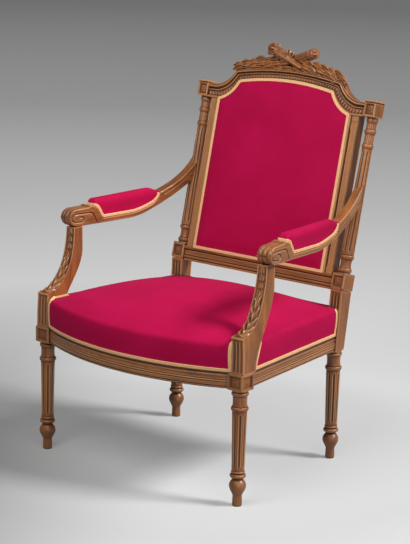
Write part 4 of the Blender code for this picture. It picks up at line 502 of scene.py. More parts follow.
for side, sign in sides:
    leg = turned_rings(leg_profile(), lambda dx, dy, z: np.stack(
        (sign * (back_leg[0] + dx), back_leg[1] + dy, z), axis=-1), 120, leg_cut)

    def post_place(dx, dy, w):
        """Square post from the leg up to the raked dado, deepening a little."""
        share = ((w + 1) / 2)[..., None]
        low = np.stack((sign * (back_leg[0] + dx), back_leg[1] + dy, leg_height + 0 * dx), axis=-1)
        high = raked(sign * (column_x(-0.043) + dx), column_depth + dy * 0.022 / 0.018, -0.043)
        return mix(low, high, share)

    post = block_rings(post_place, 0.018, 0.018, post_relief, 30, 60)
    dado = block_rings(lambda dx, dy, w: raked(
        sign * (column_x(0.0) + dx), column_depth + dy, 0.021 * (w - 1.0)), 0.0195, 0.0235, dado_relief)
    column = turned_rings(column_profile(), lambda dx, dy, v: raked(
        sign * (column_x(v) + dx), column_depth + dy, v), 120, column_cut)
    top = block_rings(lambda dx, dy, w: raked(
        sign * (column_x(0.418) + dx), 0.0215 + dy, 0.4198 + 0.0208 * w), 0.0165, 0.0215, top_relief, 26, 34)
    shells = [shell(part) for part in (leg, post, dado, column, top)]
    carve(f"carved_back_post_{side}", shells, walnut_upright, [f"back_post_{side}"])


# Seat rails: walnut show wood run with a cove under its top edge, a broad hollowed flat, a bead and a
# plain flat, and a thinner tacking edge above that the cloth hides. The front rail is bowed. All are
# tenoned into the blocks and the posts.
rail_low = 0.290
rail_top = 0.352
bow_radius = 0.63996
bow_centre_y = 0.34446
side_front = (0.329, -0.184)
side_slope = -0.13219
side_stretch = 1.0087
back_rail_rear = 0.2555
post_rise = 0.1636
# Bend radius for the rails' wax-dark hollows and pale edges, which are wear and painted highlight
rail_wear_and_highlight = 0.0018
block_inner = front_leg[0] - block_half


def bow_y(x, inset=0.0):
    """Front line of the bowed rail, moved in by an inset."""
    return bow_centre_y - np.sqrt((bow_radius - inset) ** 2 - x * x)


def side_x(y, inset=0.0):
    """Outer line of a side rail, moved in by an inset."""
    return side_front[0] + side_slope * (y - side_front[1]) - inset * side_stretch


def post_front_y(z):
    """Front face of the square post."""
    return mix(0.2245, 0.23649, (z - leg_height) / post_rise)


def rail_section():
    """Outward step and height round the show wood, from its inner bottom edge."""
    section = [(-0.0300, 0.0), (-0.0012, 0.0), (-0.0006, 0.0006), (-0.0006, 0.0020), (-0.0032, 0.0032),
               (-0.0032, 0.0040), (-0.0002, 0.0050), (0.0002, 0.0058), (0.0002, 0.0072), (0.0002, 0.0105),
               (0.0002, 0.0118), (-0.0002, 0.0126), (-0.0026, 0.0134), (-0.0026, 0.0140)]
    for turn in np.radians(np.linspace(-80, 80, 9)):
        section.append((-0.0014 + 0.0028 * math.cos(turn), 0.0163 + 0.0021 * math.sin(turn)))
    section += [(-0.0026, 0.0186), (-0.0026, 0.0192), (0.0000, 0.0200), (0.0002, 0.0208), (-0.0006, 0.0225),
                (-0.0010, 0.0245), (-0.0010, 0.0265), (-0.0006, 0.0285), (0.0002, 0.0305), (-0.0002, 0.0312),
                (-0.0030, 0.0320), (-0.0040, 0.0338), (-0.0034, 0.0356), (-0.0014, 0.0368), (0.0000, 0.0373),
                (0.0000, 0.0380), (-0.0300, 0.0380)]
    return np.array(section) + np.array((0.0, rail_low))


tacking_section = np.array([(-0.029, 0.3275), (-0.006, 0.3275), (-0.006, 0.3512), (-0.0068, rail_top),
                            (-0.029, rail_top)])
stations = np.linspace(-(block_inner - 0.0003), block_inner - 0.0003, 60)[:, None]
shells = []
for section in (rail_section(), tacking_section):
    out, z = section[:, 0][None, :], section[:, 1][None, :]
    y = bow_y(stations) - out * bow_radius / np.sqrt(bow_radius ** 2 - stations ** 2)
    shells.append(shell(np.stack((stations + 0 * y, y, z + 0 * y), axis=-1)))
carve("reeded_front_rail", shells, walnut_across, ["front_seat_rail"], rail_wear_and_highlight)

for side, sign in sides:
    shells = []
    for section, front in ((rail_section(), -0.1837), (tacking_section, -0.1600)):
        out, z = section[:, 0][None, :], section[:, 1][None, :]
        y = mix(front, post_front_y(z) - 0.0003, np.linspace(0.0, 1.0, 24)[:, None])
        shells.append(shell(np.stack((sign * (side_x(y) + out * side_stretch), y, z + 0 * y), axis=-1)))
    carve(f"reeded_side_rail_{side}", shells, walnut_deep, [f"side_seat_rail_{side}"], rail_wear_and_highlight)

shells = []
for section in (rail_section(), tacking_section):
    x = np.linspace(-0.2427, 0.2427, 24)[:, None]
    out, z = section[:, 0][None, :], section[:, 1][None, :]
    shells.append(shell(np.stack((x + 0 * out, back_rail_rear + out + 0 * x, z + 0 * x), axis=-1)))
carve("reeded_back_rail", shells, walnut_across, ["back_seat_rail"], rail_wear_and_highlight)


# Arm supports: walnut plinths with three flutes, a small ledge and a swept upright. An acanthus leaf is
# carved in the hollow of the sweep and a chain of husks runs up to the arm. Tenoned at both ends.
support_x = 0.3185
support_foot = 0.3283
support_top = 0.5747
ledge_low = 0.3316
ledge_high = 0.3559
hand_end = -0.060
arm_post_y = 0.30566
arm_line = np.array(((-0.140, 0.0055), (-0.115, 0.0030), (-0.095, 0.0), (-0.070, -0.0025), (-0.045, -0.0045),
                     (-0.020, -0.0045), (0.030, -0.0025), (0.100, 0.0010), (0.170, 0.0040), (0.240, 0.0020),
                     (0.306, 0.0)))


def arm_share(y):
    """How far a place lies from the end of the hand to the column."""
    return np.clip((y - hand_end) / (arm_post_y - hand_end), 0.0, 1.0)


def arm_middle(y):
    """Half distance between the arms, which draw in to the columns and whose hands turn out a little."""
    return mix(0.315, 0.27169, arm_share(y) ** 1.15) + np.interp(y, *arm_line.T)


def support_rear_y(z):
    """Rear face of the arm support at a level: upright behind the plinth, then swept back."""
    return mix(-0.1780, -0.1015, ease((z - 0.336) / 0.186))


def support_lines(t):
    """Front and rear of the support's side view at a share of its height, and the way its front faces."""
    rear_z = mix(support_foot, support_top, t)
    rear_y = support_rear_y(rear_z)
    sweep = np.clip((t - ledge_high) / (1.0 - ledge_high), 0.0, 1.0)
    angle = np.pi / 2 * sweep
    swept = t > ledge_high
    front_y = np.where(swept, mix(-0.2205, -0.1320, np.sin(angle)), -0.2245)
    front_z = np.where(swept, mix(support_top, 0.417, np.cos(angle)), rear_z)
    facing_y = np.where(swept, -0.1577 * np.sin(angle), -1.0)
    facing_z = np.where(swept, 0.0885 * np.cos(angle), 0.0)
    size = np.hypot(facing_y, facing_z)
    return front_y, front_z, rear_y, rear_z, facing_y / size, facing_z / size, sweep


def support_relief(u, t, sweep):
    """Height of the carving on the front of a support, across it and up it."""
    flute = ((u * 1.75 + 0.5) % 1.0 - 0.5) / 0.36
    flutes = np.sqrt(np.clip(1.0 - flute ** 2, 0.0, 1.0)) * (np.abs(u) < 0.85)
    height = -0.0018 * flutes * ease((t - 0.012) / 0.01) * ease((0.328 - t) / 0.01)
    ledge = np.clip((t - ledge_low) / (ledge_high - ledge_low), 0.0, 1.0)
    height = height + 0.0020 * np.sin(np.pi * ledge)
    sunk = ease((0.84 - np.abs(u)) / 0.08) * ease(sweep / 0.03)
    height = height - 0.0016 * sunk
    leaf = np.clip((sweep - 0.01) / 0.73, 0.0, 1.0)
    lobes = 0.5 + 0.5 * np.cos(2 * np.pi * (5.0 * leaf - 1.05 * np.abs(u)))
    width = 1.04 * np.sqrt(np.clip(1.0 - leaf ** 2.6, 0.0, 1.0)) * (0.80 + 0.20 * lobes)
    inside = ease((width - np.abs(u)) / 0.12) * (leaf > 0.0) * (leaf < 1.0)
    rib = np.exp(-(u / 0.09) ** 2)
    low_edge = mix(0.30, 1.0, ease((1.0 - np.abs(u)) / 0.30))
    swell = 0.15 + 0.75 * lobes ** 0.7 + 0.45 * rib
    height = height + 0.0068 * low_edge * inside * swell * ease((1.0 - leaf) / 0.12)
    chain = (sweep - 0.765) / 0.074
    fall = 1.0 - chain % 1.0
    width = 0.16 + 0.44 * ease(fall / 0.75) - 0.20 * ease((fall - 0.85) / 0.15)
    petal = 0.62 + 0.38 * np.cos(2 * np.pi * u / np.maximum(0.36 * width / 0.5, 0.05))
    body = np.sqrt(np.clip(1.0 - (u / width) ** 2, 0.0, 1.0)) * ease(fall / 0.12) * ease((1.0 - fall) / 0.10)
    return height + 0.0040 * body * mix(1.0, petal, 0.55) * (chain > 0.0) * (chain < 3.0)


support_levels = np.concatenate((np.linspace(0.0, ledge_low, 40), np.linspace(ledge_low, ledge_high, 9)[1:],
                                 np.linspace(ledge_high + 0.0005, 1.0, 120)))[:, None]
front_run = np.linspace(-1.0, 1.0, 31)
side_run = np.linspace(0.0, 1.0, 16)[1:-1]
rear_run = np.linspace(1.0, -1.0, 9)
support_u = np.concatenate((front_run, 1.0 + 0 * side_run, rear_run, -1.0 + 0 * side_run))[None, :]
support_q = np.concatenate((0 * front_run, side_run, 1.0 + 0 * rear_run, side_run[::-1]))[None, :]
for side, sign in sides:
    front_y, front_z, rear_y, rear_z, facing_y, facing_z, sweep = support_lines(support_levels)
    height = np.where(support_q == 0.0, support_relief(support_u, support_levels + 0 * support_u, sweep), 0.0)
    y = mix(front_y, rear_y, support_q) + height * facing_y
    z = mix(front_z, rear_z, support_q) + height * facing_z
    share = (mix(front_z, rear_z, support_q) - support_foot) / (support_top - support_foot)
    half = mix(0.0375, 0.0275, share) / 2
    behind = support_q * np.hypot(rear_y - front_y, rear_z - front_z)
    half = half - 0.0010 * np.exp(-((behind - 0.0065) / 0.0013) ** 2) * (np.abs(support_u) == 1.0)
    middle = mix(support_x, 0.3105, ease((share - 0.15) / 0.55))
    rings = np.stack((sign * (middle + support_u * half), y, z), axis=-1)
    carve(f"carved_arm_support_{side}", [shell(rings)], walnut_upright, [f"arm_support_{side}"])


# Arms: walnut, with a rolled hand whose nose has three reeds and whose sides have a square-cut volute,
# a sunk seat for the pad behind a small ledge, and an upswept rear tenoned into the column.
roll_y = -0.118
roll_z = 0.5975
roll_radius = 0.0225
pad_rear = 0.1780
pad_turn = 0.148
pad_bed = 0.0135
volute = np.array(((-0.0500, 0.5760), (-0.0555, 0.5860), (-0.0605, 0.5965), (-0.0655, 0.6040),
                   (-0.0740, 0.6072), (-0.1120, 0.6075), (-0.1250, 0.6050), (-0.1315, 0.5985),
                   (-0.1305, 0.5905), (-0.1230, 0.5862), (-0.0995, 0.5856), (-0.0930, 0.5890),
                   (-0.0935, 0.5955), (-0.0990, 0.5985), (-0.1090, 0.5985)))


def arm_half_width(y):
    """Half width of the arm, which narrows from the hand to the post."""
    return mix(0.0190, 0.0125, ease(arm_share(y)))


def arm_under(y):
    """Underside of the arm: level under the hand, then sweeping up to the column."""
    return 0.575 + 0.077 * np.clip((y - 0.075) / 0.21602, 0.0, None) ** 1.6


def pad_seat(y):
    """Height of the wood under the pad, with a curved shoulder behind the hand and a turn up at the rear."""
    shoulder = np.clip((-0.0260 - y) / 0.0330, 0.0, 1.0)
    shoulder = shoulder ** 3 * (10.0 - 15.0 * shoulder + 6.0 * shoulder ** 2)
    turned_up = np.clip((y - pad_turn) / (pad_rear - pad_turn), 0.0, 1.0)
    rise = (0.628 - arm_under(pad_rear) - pad_bed) * (1.0 - np.sqrt(1.0 - turned_up ** 2))
    return mix(arm_under(y) + pad_bed, 0.6200, shoulder) + rise


def arm_lines():
    """Depth and height along the arm's underside and its top, from the nose to the column."""
    turn = np.radians(np.concatenate((np.linspace(5, 40, 8), np.linspace(46, 90, 9))))
    y = roll_y - roll_radius * np.cos(turn)
    low = [np.stack((y, roll_z - roll_radius * np.sin(turn)), axis=1)]
    high = [np.stack((y, roll_z + roll_radius * np.sin(turn)), axis=1)]
    y = np.linspace(roll_y, hand_end, 46)[1:]
    low.append(np.stack((y, arm_under(y)), axis=1))
    step = 0.0022 * (np.abs(y + 0.070) < 0.004)
    high.append(np.stack((y, mix(0.620, 0.6220, (y - roll_y) / (hand_end - roll_y)) + step), axis=1))
    late = pad_turn + (pad_rear - pad_turn) * np.sin(np.linspace(0.0, np.pi / 2, 14))
    early, steady = np.linspace(hand_end, -0.030, 24), np.linspace(-0.030, pad_turn, 34)
    y = np.concatenate((early[1:], steady[1:], late[1:]))
    low.append(np.stack((y, arm_under(y)), axis=1))
    high.append(np.stack((y, pad_seat(y)), axis=1))
    share = np.linspace(0.0, 1.0, 40)
    low_y = mix(pad_rear + 0.002, 0.29102 + 0.010, share)
    high_y = mix(pad_rear + 0.001, arm_post_y + 0.010, share)
    high_z = mix(0.6310, 0.714, mix(share, share ** 3, 0.45))
    low.append(np.stack((low_y, arm_under(low_y)), axis=1))
    high.append(np.stack((high_y, high_z), axis=1))
    return np.concatenate(low), np.concatenate(high)


def rounded_section(wide, tall):
    """Columns of a rounded rectangle: run across, run up, and the corner's own offsets across and up."""
    bend = np.radians((22.5, 45.0, 67.5))
    sweep, climb = np.linspace(-1.0, 1.0, wide), np.linspace(0.0, 1.0, tall)
    corner = np.ones(3)
    parts = ((sweep, 0 * sweep, 0 * sweep, -1 + 0 * sweep),
             (corner, 0 * corner, np.sin(bend), -np.cos(bend)),
             (1 + 0 * climb, climb, 1 + 0 * climb, 0 * climb),
             (corner, corner, np.cos(bend), np.sin(bend)),
             (-sweep, 1 + 0 * sweep, 0 * sweep, 1 + 0 * sweep),
             (-corner, corner, -np.sin(bend), np.cos(bend)),
             (-1 + 0 * climb, climb[::-1], -1 + 0 * climb, 0 * climb),
             (-corner, 0 * corner, -np.cos(bend), -np.sin(bend)))
    return [np.concatenate(column)[None, :] for column in zip(*parts)]


def line_distance(y, z, line):
    """Distance of places from a line through points."""
    nearest = np.full(y.shape, 1.0)
    for (start_y, start_z), (end_y, end_z) in zip(line, line[1:]):
        run_y, run_z = end_y - start_y, end_z - start_z
        share = np.clip(((y - start_y) * run_y + (z - start_z) * run_z) / (run_y ** 2 + run_z ** 2), 0.0, 1.0)
        nearest = np.minimum(nearest, np.hypot(y - start_y - share * run_y, z - start_z - share * run_z))
    return nearest


def arm_rings(sign):
    """Rings of an arm from its nose to the column."""
    low, high = arm_lines()
    run, climb, corner_x, corner_z = rounded_section(25, 40)
    low_y, low_z, high_y, high_z = low[:, :1], low[:, 1:], high[:, :1], high[:, 1:]
    tall = high_z - low_z
    corner = np.minimum(0.0035, 0.3 * tall)
    up = (corner + (tall - 2 * corner) * climb + corner * corner_z) / tall
    y, z = mix(low_y, high_y, up), mix(low_z, high_z, up)
    half = arm_half_width(y)
    x = run * (half - corner) + corner * corner_x
    groove = (1.0 - np.abs(np.sin(1.5 * np.pi * (x / half + 1.0)))) ** 2
    shown = ease((-0.076 - y) / 0.01) * ((z > roll_z) | (y < roll_y)) * (1.0 - np.abs(corner_x))
    reach_y, reach_z = np.minimum(y - roll_y, 0.0), z - roll_z
    size = np.maximum(np.hypot(reach_y, reach_z), 0.001)
    cut = 0.0034 * groove * shown / size
    moulded = 0.0014 * np.exp(-((up - 0.66) * tall / 0.0016) ** 2) * ease((y - pad_rear - 0.004) / 0.010)
    sunk = 0.0028 * np.exp(-(line_distance(y, z, volute) / 0.0015) ** 2) + moulded
    x = x - corner_x * (np.abs(corner_x) == 1.0) * sunk
    turned = 0.12 * x * ease((-0.055 - y) / 0.03)
    return np.stack((sign * (arm_middle(y) + x), y + turned - cut * reach_y, z - cut * reach_z), axis=-1)


for side, sign in sides:
    carve(f"carved_arm_{side}", [shell(arm_rings(sign))], walnut_deep, [f"arm_{side}"])


# Back frame: a crest rail with an arch and hollow shoulders, two stiles and a bottom rail, all walnut and
# tenoned together between the posts. The crest has a band of tongues, a cove and beads, the other three
# have grooved flats, and a bead stands round the opening on all four.
frame_front = 0.006
frame_rear = 0.034
opening_half = 0.212
opening_low = -0.006
opening_shoulder = 0.398
opening_arch = (0.150, 0.4645, 0.4500)
crest_arch = (0.170, 0.4920, 0.4765)
crest_shoulder = 0.4335
stile_outer = 0.240
crest_end = column_x(column_height) - 0.0168
# Bend radius for the frame's wax-dark hollows and pale edges, which are wear and painted highlight
frame_wear_and_highlight = 0.0020
# The stiles' forward faces are painted pale, as painted light from the front
stile_painted_front_light = 0.66


def arch(half_width, top, end, x):
    """Height of a shallow circular arch at a distance from its middle."""
    rise = top - end
    radius = (half_width ** 2 + rise ** 2) / (2 * rise)
    return top - radius + np.sqrt(radius * radius - x * x)


def hollow_line(start, end, count):
    """Points along a shallow hollow curve between two points."""
    share = np.linspace(0.0, 1.0, count)[:, None]
    chord = np.array(end) - np.array(start)
    inward = np.array((-abs(chord[1]), -abs(chord[0]))) / np.hypot(*chord)
    return np.array(start) + chord * share + inward * 0.008 * 4 * share * (1.0 - share)


def crest_edges(arch_count, shoulder_count):
    """Matching points under and over the right half of the crest rail, from its middle to its shoulder."""
    share = np.linspace(0.0, 1.0, arch_count)
    lower, upper = [np.stack((half * share, arch(half, top, end, half * share)), axis=1)
                    for half, top, end in (opening_arch, crest_arch)]
    shoulder_low = hollow_line((0.153, 0.447), (opening_half, opening_shoulder), shoulder_count)
    shoulder_high = hollow_line((0.173, 0.4735), (0.232, crest_shoulder), shoulder_count)
    return np.concatenate((lower, shoulder_low)), np.concatenate((upper, shoulder_high))


def frame_rings(inner, outer, front):
    """Rings of a frame member from inner to outer edge: front(t, s) is how far its face is cut back."""
    middle = (inner + outer) / 2
    s = np.concatenate(((0.0,), np.cumsum(np.hypot(*np.diff(middle, axis=0).T))))[:, None]
    face = np.linspace(0.0, 1.0, 49)
    edge = np.linspace(0.0, 1.0, 6)[1:-1]
    rear = np.linspace(1.0, 0.0, 8)
    t = np.concatenate((face, 1 + 0 * edge, rear, 0 * edge))[None, :]
    back = np.concatenate((0 * face, edge, 1 + 0 * rear, edge[::-1]))[None, :]
    depth = mix(frame_front + front(t + 0 * s, s + 0 * t), frame_rear, back)
    x = mix(inner[:, :1], outer[:, :1], t)
    v = mix(inner[:, 1:], outer[:, 1:], t)
    return raked(x, depth, v)


def raised_rim(t, width):
    """Bead that stands round the opening, over a share of a frame member's face."""
    return -0.0048 * np.sqrt(np.clip(1.0 - np.maximum(t / width, 0.0) ** 4, 0.0, 1.0))


def crest_face(t, s):
    """Band of upright tongues, a small bead, a cove and an outer bead over the crest rail."""
    tongue = (s / 0.0090) % 1.0 - 0.5
    tongues = np.sqrt(np.clip(1.0 - (tongue / 0.34) ** 2 - (np.maximum(t - 0.30, 0.0) / 0.16) ** 2, 0.0, 1.0))
    sunk = 0.0032 * ease((t - 0.15) / 0.03) * ease((0.55 - t) / 0.04)
    small_bead = 0.0010 * np.sin(np.pi * np.clip((t - 0.55) / 0.08, 0.0, 1.0))
    cove = 0.0045 * np.sin(np.pi * np.clip((t - 0.61) / 0.15, 0.0, 1.0))
    bead_out = 0.0030 * np.sin(np.pi * np.clip((t - 0.76) / 0.16, 0.0, 1.0))
    return sunk * (1.0 - 0.85 * tongues) + cove - small_bead - bead_out + raised_rim(t, 0.14)


def stile_face(t, s):
    """Flat with a groove near each edge, a ribbed capital and a plain foot."""
    sunk = 0.0026 * np.exp(-((t - 0.27) / 0.055) ** 2)
    groove = 0.0012 * np.exp(-((t - 0.93) / 0.025) ** 2)
    shaft = ease((s - 0.014) / 0.004) * ease((0.370 - s) / 0.004)
    ribs = 0.0016 * (1.0 - np.abs(np.sin(np.pi * (s - 0.374) / 0.0065))) * (s > 0.374)
    return (sunk + groove) * shaft + ribs * (t > 0.25) + raised_rim(t, 0.24)


def bottom_face(t, s):
    """Broad flat between grooves along the bottom rail, over a bead and a plain edge."""
    grooves = sum(np.exp(-((t - place) / 0.025) ** 2) for place in (0.25, 0.62, 0.84))
    bead_low = np.sin(np.pi * np.clip((t - 0.63) / 0.20, 0.0, 1.0))
    return 0.0028 * grooves - 0.0012 * bead_low + raised_rim(t, 0.22)


lower, upper = crest_edges(90, 44)
tail = np.linspace(0.0, 1.0, 20)[1:, None]
lower = np.concatenate((lower, mix(lower[-1:], np.array(((crest_end, opening_shoulder),)), tail)))
upper = np.concatenate((upper, mix(upper[-1:], np.array(((crest_end, crest_shoulder),)), tail)))
mirror = np.array((-1.0, 1.0))
lower = np.concatenate((lower[:0:-1] * mirror, lower))
upper = np.concatenate((upper[:0:-1] * mirror, upper))
carve("carved_crest_rail", [shell(frame_rings(lower, upper, crest_face))], walnut_across, ["crest_rail"])

rise = np.linspace(opening_low + 0.0003, opening_shoulder - 0.0003, 150)[:, None]
for side, sign in sides:
    inner = np.concatenate((sign * opening_half + 0 * rise, rise), axis=1)
    outer = np.concatenate((sign * stile_outer + 0 * rise, rise), axis=1)
    carve(f"carved_back_stile_{side}", [shell(frame_rings(inner, outer, stile_face))], walnut_upright,
          [f"back_stile_{side}"], frame_wear_and_highlight, stile_painted_front_light)

run = np.linspace(-0.2445, 0.2445, 40)[:, None]
inner = np.concatenate((run, opening_low + 0 * run), axis=1)
outer = np.concatenate((run, -0.045 + 0 * run), axis=1)
carve("reeded_back_bottom_rail", [shell(frame_rings(inner, outer, bottom_face))], walnut_across,
      ["back_bottom_rail"], frame_wear_and_highlight)


# Crest carving: a flaming torch laid over a quiver, tied where they cross, on two sprays of laurel.
# All are carved in walnut and stand on the crest rail's top edge.
crossing = (-0.005, 0.5195)
torch_tilt = 21
quiver_tilt = 19
# Bend radii for the carving's wax-dark hollows and pale edges, which are wear and painted highlight
trophy_wear_and_highlight = 0.0012
leaf_wear_and_highlight = 0.0011
spray_seed = np.random.default_rng(7)


def leaning_rings(sign, tilt, depth, profile, relief):
    """Rings of a round piece that leans across the crest, counted from the crossing."""
    lean = math.radians(tilt)
    along = profile[:, :1]
    turn = np.linspace(0.0, 2 * np.pi, 48, endpoint=False)[None, :]
    radius = profile[:, 1:] * (1.0 + relief(along, turn))
    side_step = radius * np.cos(turn)
    x = crossing[0] + sign * (math.cos(lean) * along - math.sin(lean) * side_step)
    v = crossing[1] + math.sin(lean) * along + math.cos(lean) * side_step
    return raked(x, depth + radius * np.sin(turn), v)


def fine_profile(points, count):
    """Evenly spaced places along a profile given by a few points."""
    points = np.array(points)
    places = np.linspace(points[0, 0], points[-1, 0], count)
    return np.stack((places, np.interp(places, points[:, 0], points[:, 1])), axis=1)


def torch_relief(along, turn):
    """Ribbon at the crossing, reeds up the body and tongues of flame."""
    ribbon = 0.30 * np.exp(-((along - 0.006) / 0.007) ** 4) * (0.8 + 0.2 * np.cos(3 * turn + 600 * along))
    reeds = 0.10 * np.cos(9 * turn) * ease((along - 0.014) / 0.004) * ease((0.040 - along) / 0.003)
    flame = ease((along - 0.043) / 0.012)
    tongues = 0.30 * np.cos(5 * turn + 110 * along) + 0.16 * np.cos(8 * turn - 140 * along)
    return ribbon + reeds + flame * tongues


def quiver_relief(along, turn):
    """Reeds down the quiver and the feathered ends of its arrows."""
    reeds = 0.07 * np.cos(10 * turn) * ease((0.052 - along) / 0.003)
    feathers = 0.16 * np.cos(6 * turn) * ease((along - 0.0715) / 0.002)
    return reeds + feathers


torch = fine_profile(((-0.048, 0.0035), (-0.021, 0.0056), (0.0, 0.0085), (0.0304, 0.0125),
                      (0.032, 0.0145), (0.0392, 0.0145), (0.0408, 0.0120), (0.056, 0.0150),
                      (0.0688, 0.0124), (0.080, 0.0040)), 110)
loop = np.linspace(0.0, 2 * np.pi, 40, endpoint=False)[:, None]
turn = np.linspace(0.0, 2 * np.pi, 10, endpoint=False)[None, :]
ribbon_loops = []
for lean, reach in ((-0.30, 0.0100), (0.55, 0.0075)):
    out = reach * (1 + np.cos(loop)) + 0.0016 * np.cos(turn) * np.cos(loop)
    across = (0.0046 + 0.0016 * np.cos(turn)) * np.sin(loop)
    x = crossing[0] + math.sin(lean) * out + math.cos(lean) * across
    v = crossing[1] + 0.006 + math.cos(lean) * out - math.sin(lean) * across
    ribbon_loops.append(shell(raked(x, 0.007 + 0.0030 * np.sin(turn) + 0 * loop, v), loop=True))
rod = fine_profile(((-0.052, 0.0012), (-0.046, 0.0028), (0.046, 0.0028), (0.052, 0.0012)), 60)
rod_rings = leaning_rings(-1, torch_tilt, -0.0050, rod, lambda along, turn: 0.0)
rod_step = raked(np.array(-0.0015), np.array(0.0), np.array(-0.0010)) - raked(*np.zeros((3, 1)))[0]
torch_rings = leaning_rings(-1, torch_tilt, 0.009, torch, torch_relief)
carve("carved_torch", [shell(torch_rings), shell(rod_rings + rod_step)] + ribbon_loops, walnut_across,
      ["crest_torch"], trophy_wear_and_highlight)
quiver = fine_profile(((-0.030, 0.0070), (0.0, 0.0105), (0.0528, 0.0125), (0.0544, 0.0145),
                       (0.0590, 0.0148), (0.0600, 0.0130), (0.0655, 0.0130), (0.0665, 0.0148),
                       (0.0704, 0.0145), (0.072, 0.0122), (0.080, 0.0100)), 110)
quiver_rings = leaning_rings(1, quiver_tilt, 0.020, quiver, quiver_relief)
carve("carved_quiver", [shell(quiver_rings)], walnut_across, ["crest_quiver"], trophy_wear_and_highlight)


def leaf_rings(sign, x, v, depth, heading, length, width, droop, twist):
    """Rings of one laurel leaf: a bowed, drooping and twisted blade with a sunk rib and raised edges."""
    a = np.linspace(0.0, 1.0, 17)[:, None]
    b = np.array((-1.0, -0.75, -0.45, -0.16, 0.0, 0.16, 0.45, 0.75, 1.0, 0.5, 0.0, -0.5))[None, :]
    front = np.array((0, 1, 1, 1, 1, 1, 1, 1, 0, 0, 0, 0))[None, :]
    half = width / 2 * (0.06 + 0.94 * np.sin(np.pi * a ** 0.85) ** 0.9)
    bow = 0.0055 * np.sin(np.pi * a)
    swell = front * (0.0030 - 0.0010 * b ** 2 - 0.0026 * np.exp(-(b / 0.16) ** 2)) + twist * half * b
    place_x = x + math.cos(heading) * length * a - math.sin(heading) * half * b
    place_v = v + math.sin(heading) * length * a + math.cos(heading) * half * b - droop * length * a ** 2
    return raked(sign * place_x, depth - bow - swell + 0.0012 * (1 - front), place_v)


def crest_top(x):
    """Top line of the crest rail's arch, carried on past its ends."""
    return arch(*crest_arch, np.minimum(np.abs(x), crest_arch[0]))


for side, sign in sides:
    shells = []
    run = np.linspace(-0.020, 0.172, 50)[:, None]
    tall = mix(0.031, 0.007, np.clip((run - 0.014) / 0.158, 0.0, 1.0) ** 0.9)
    turn = np.linspace(0.0, 2 * np.pi, 16, endpoint=False)[None, :]
    shells.append(shell(raked(sign * (run + 0 * turn), 0.0260 + 0.0045 * np.sin(turn),
                              crest_top(run) + tall * (0.48 + 0.5 * np.cos(turn)))))
    for row, lift, turn_up, droop, forward_step in ((0, 0.84, 8, 0.26, 0.000), (1, 0.12, -6, 0.02, 0.004),
                                                    (2, 0.50, -2, 0.18, 0.0065)):
        for number in range(7):
            share = (number + 0.33 * row) / 7
            x = mix(-0.012, 0.160, share)
            tall = mix(0.042, 0.025, share ** 0.9)
            heading = math.radians(turn_up - 7 * share - 6 * (sign + 1) + spray_seed.uniform(-10, 10))
            twist = spray_seed.uniform(0.25, 0.60) * (-1) ** number
            length, width = mix(0.046, 0.038, share), mix(0.0165, 0.0140, share)
            leaf = leaf_rings(sign, x, crest_top(x) + lift * tall, 0.0205 - forward_step, heading, length,
                              width, droop, twist)
            shells.append(shell(leaf))
    # The last leaf lies along the rail on one side and curls down over the shoulder on the other
    heading, droop = ((0.10, 0.10), (-0.45, 0.40))[sign > 0]
    end_leaf = leaf_rings(sign, 0.150, crest_top(0.150) + 0.010, 0.016, heading, 0.042, 0.019, droop, 0.3)
    shells.append(shell(end_leaf))
    carve(f"carved_laurel_{side}", shells, walnut_across, [f"crest_laurel_{side}"], leaf_wear_and_highlight)


# Corner braces: plain beech blocks glued and screwed across the inner corners of the seat frame.
# They stay as the frame has them, in sawn and planed beech that was never finished.
def repaint(nodes, material):
    """Give solids that stay in sight a better material."""
    for node in nodes:
        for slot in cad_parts[node].material_slots:
            slot.material = material


# Planed beech: pale, with short dark flecks about 6 mm long and 1 mm wide
beech, tree, shader = new_material("Planed beech")
place = add_node(tree, "ShaderNodeTexCoord", {}, {})
stretched = add_node(tree, "ShaderNodeMapping", {"Scale": (1 / 0.006, 1 / 0.006, 1 / 0.0012)},
                     {"Vector": place.outputs["Object"]})
flecks = add_node(tree, "ShaderNodeTexNoise", {"Scale": 1.0, "Detail": 2.0}, {"Vector": stretched.outputs[0]})
dark = add_node(tree, "ShaderNodeMapRange", {1: 0.5, 2: 0.7, 4: 0.6}, {0: flecks.outputs["Fac"]})
tint = add_node(tree, "ShaderNodeMix", {"data_type": "RGBA", 6: srgb("#c9a779"), 7: srgb("#a37c50")},
                {0: dark.outputs[0]})
tree.links.new(tint.outputs[2], shader.inputs["Base Color"])
relief = add_node(tree, "ShaderNodeBump", {"Strength": 0.2, "Distance": 0.0003},
                  {"Height": flecks.outputs["Fac"]})
tree.links.new(relief.outputs[0], shader.inputs["Normal"])
shader.inputs["Roughness"].default_value = 0.65
repaint([f"corner_brace_{end}_{side}" for end in ("front", "back") for side in ("left", "right")], beech)


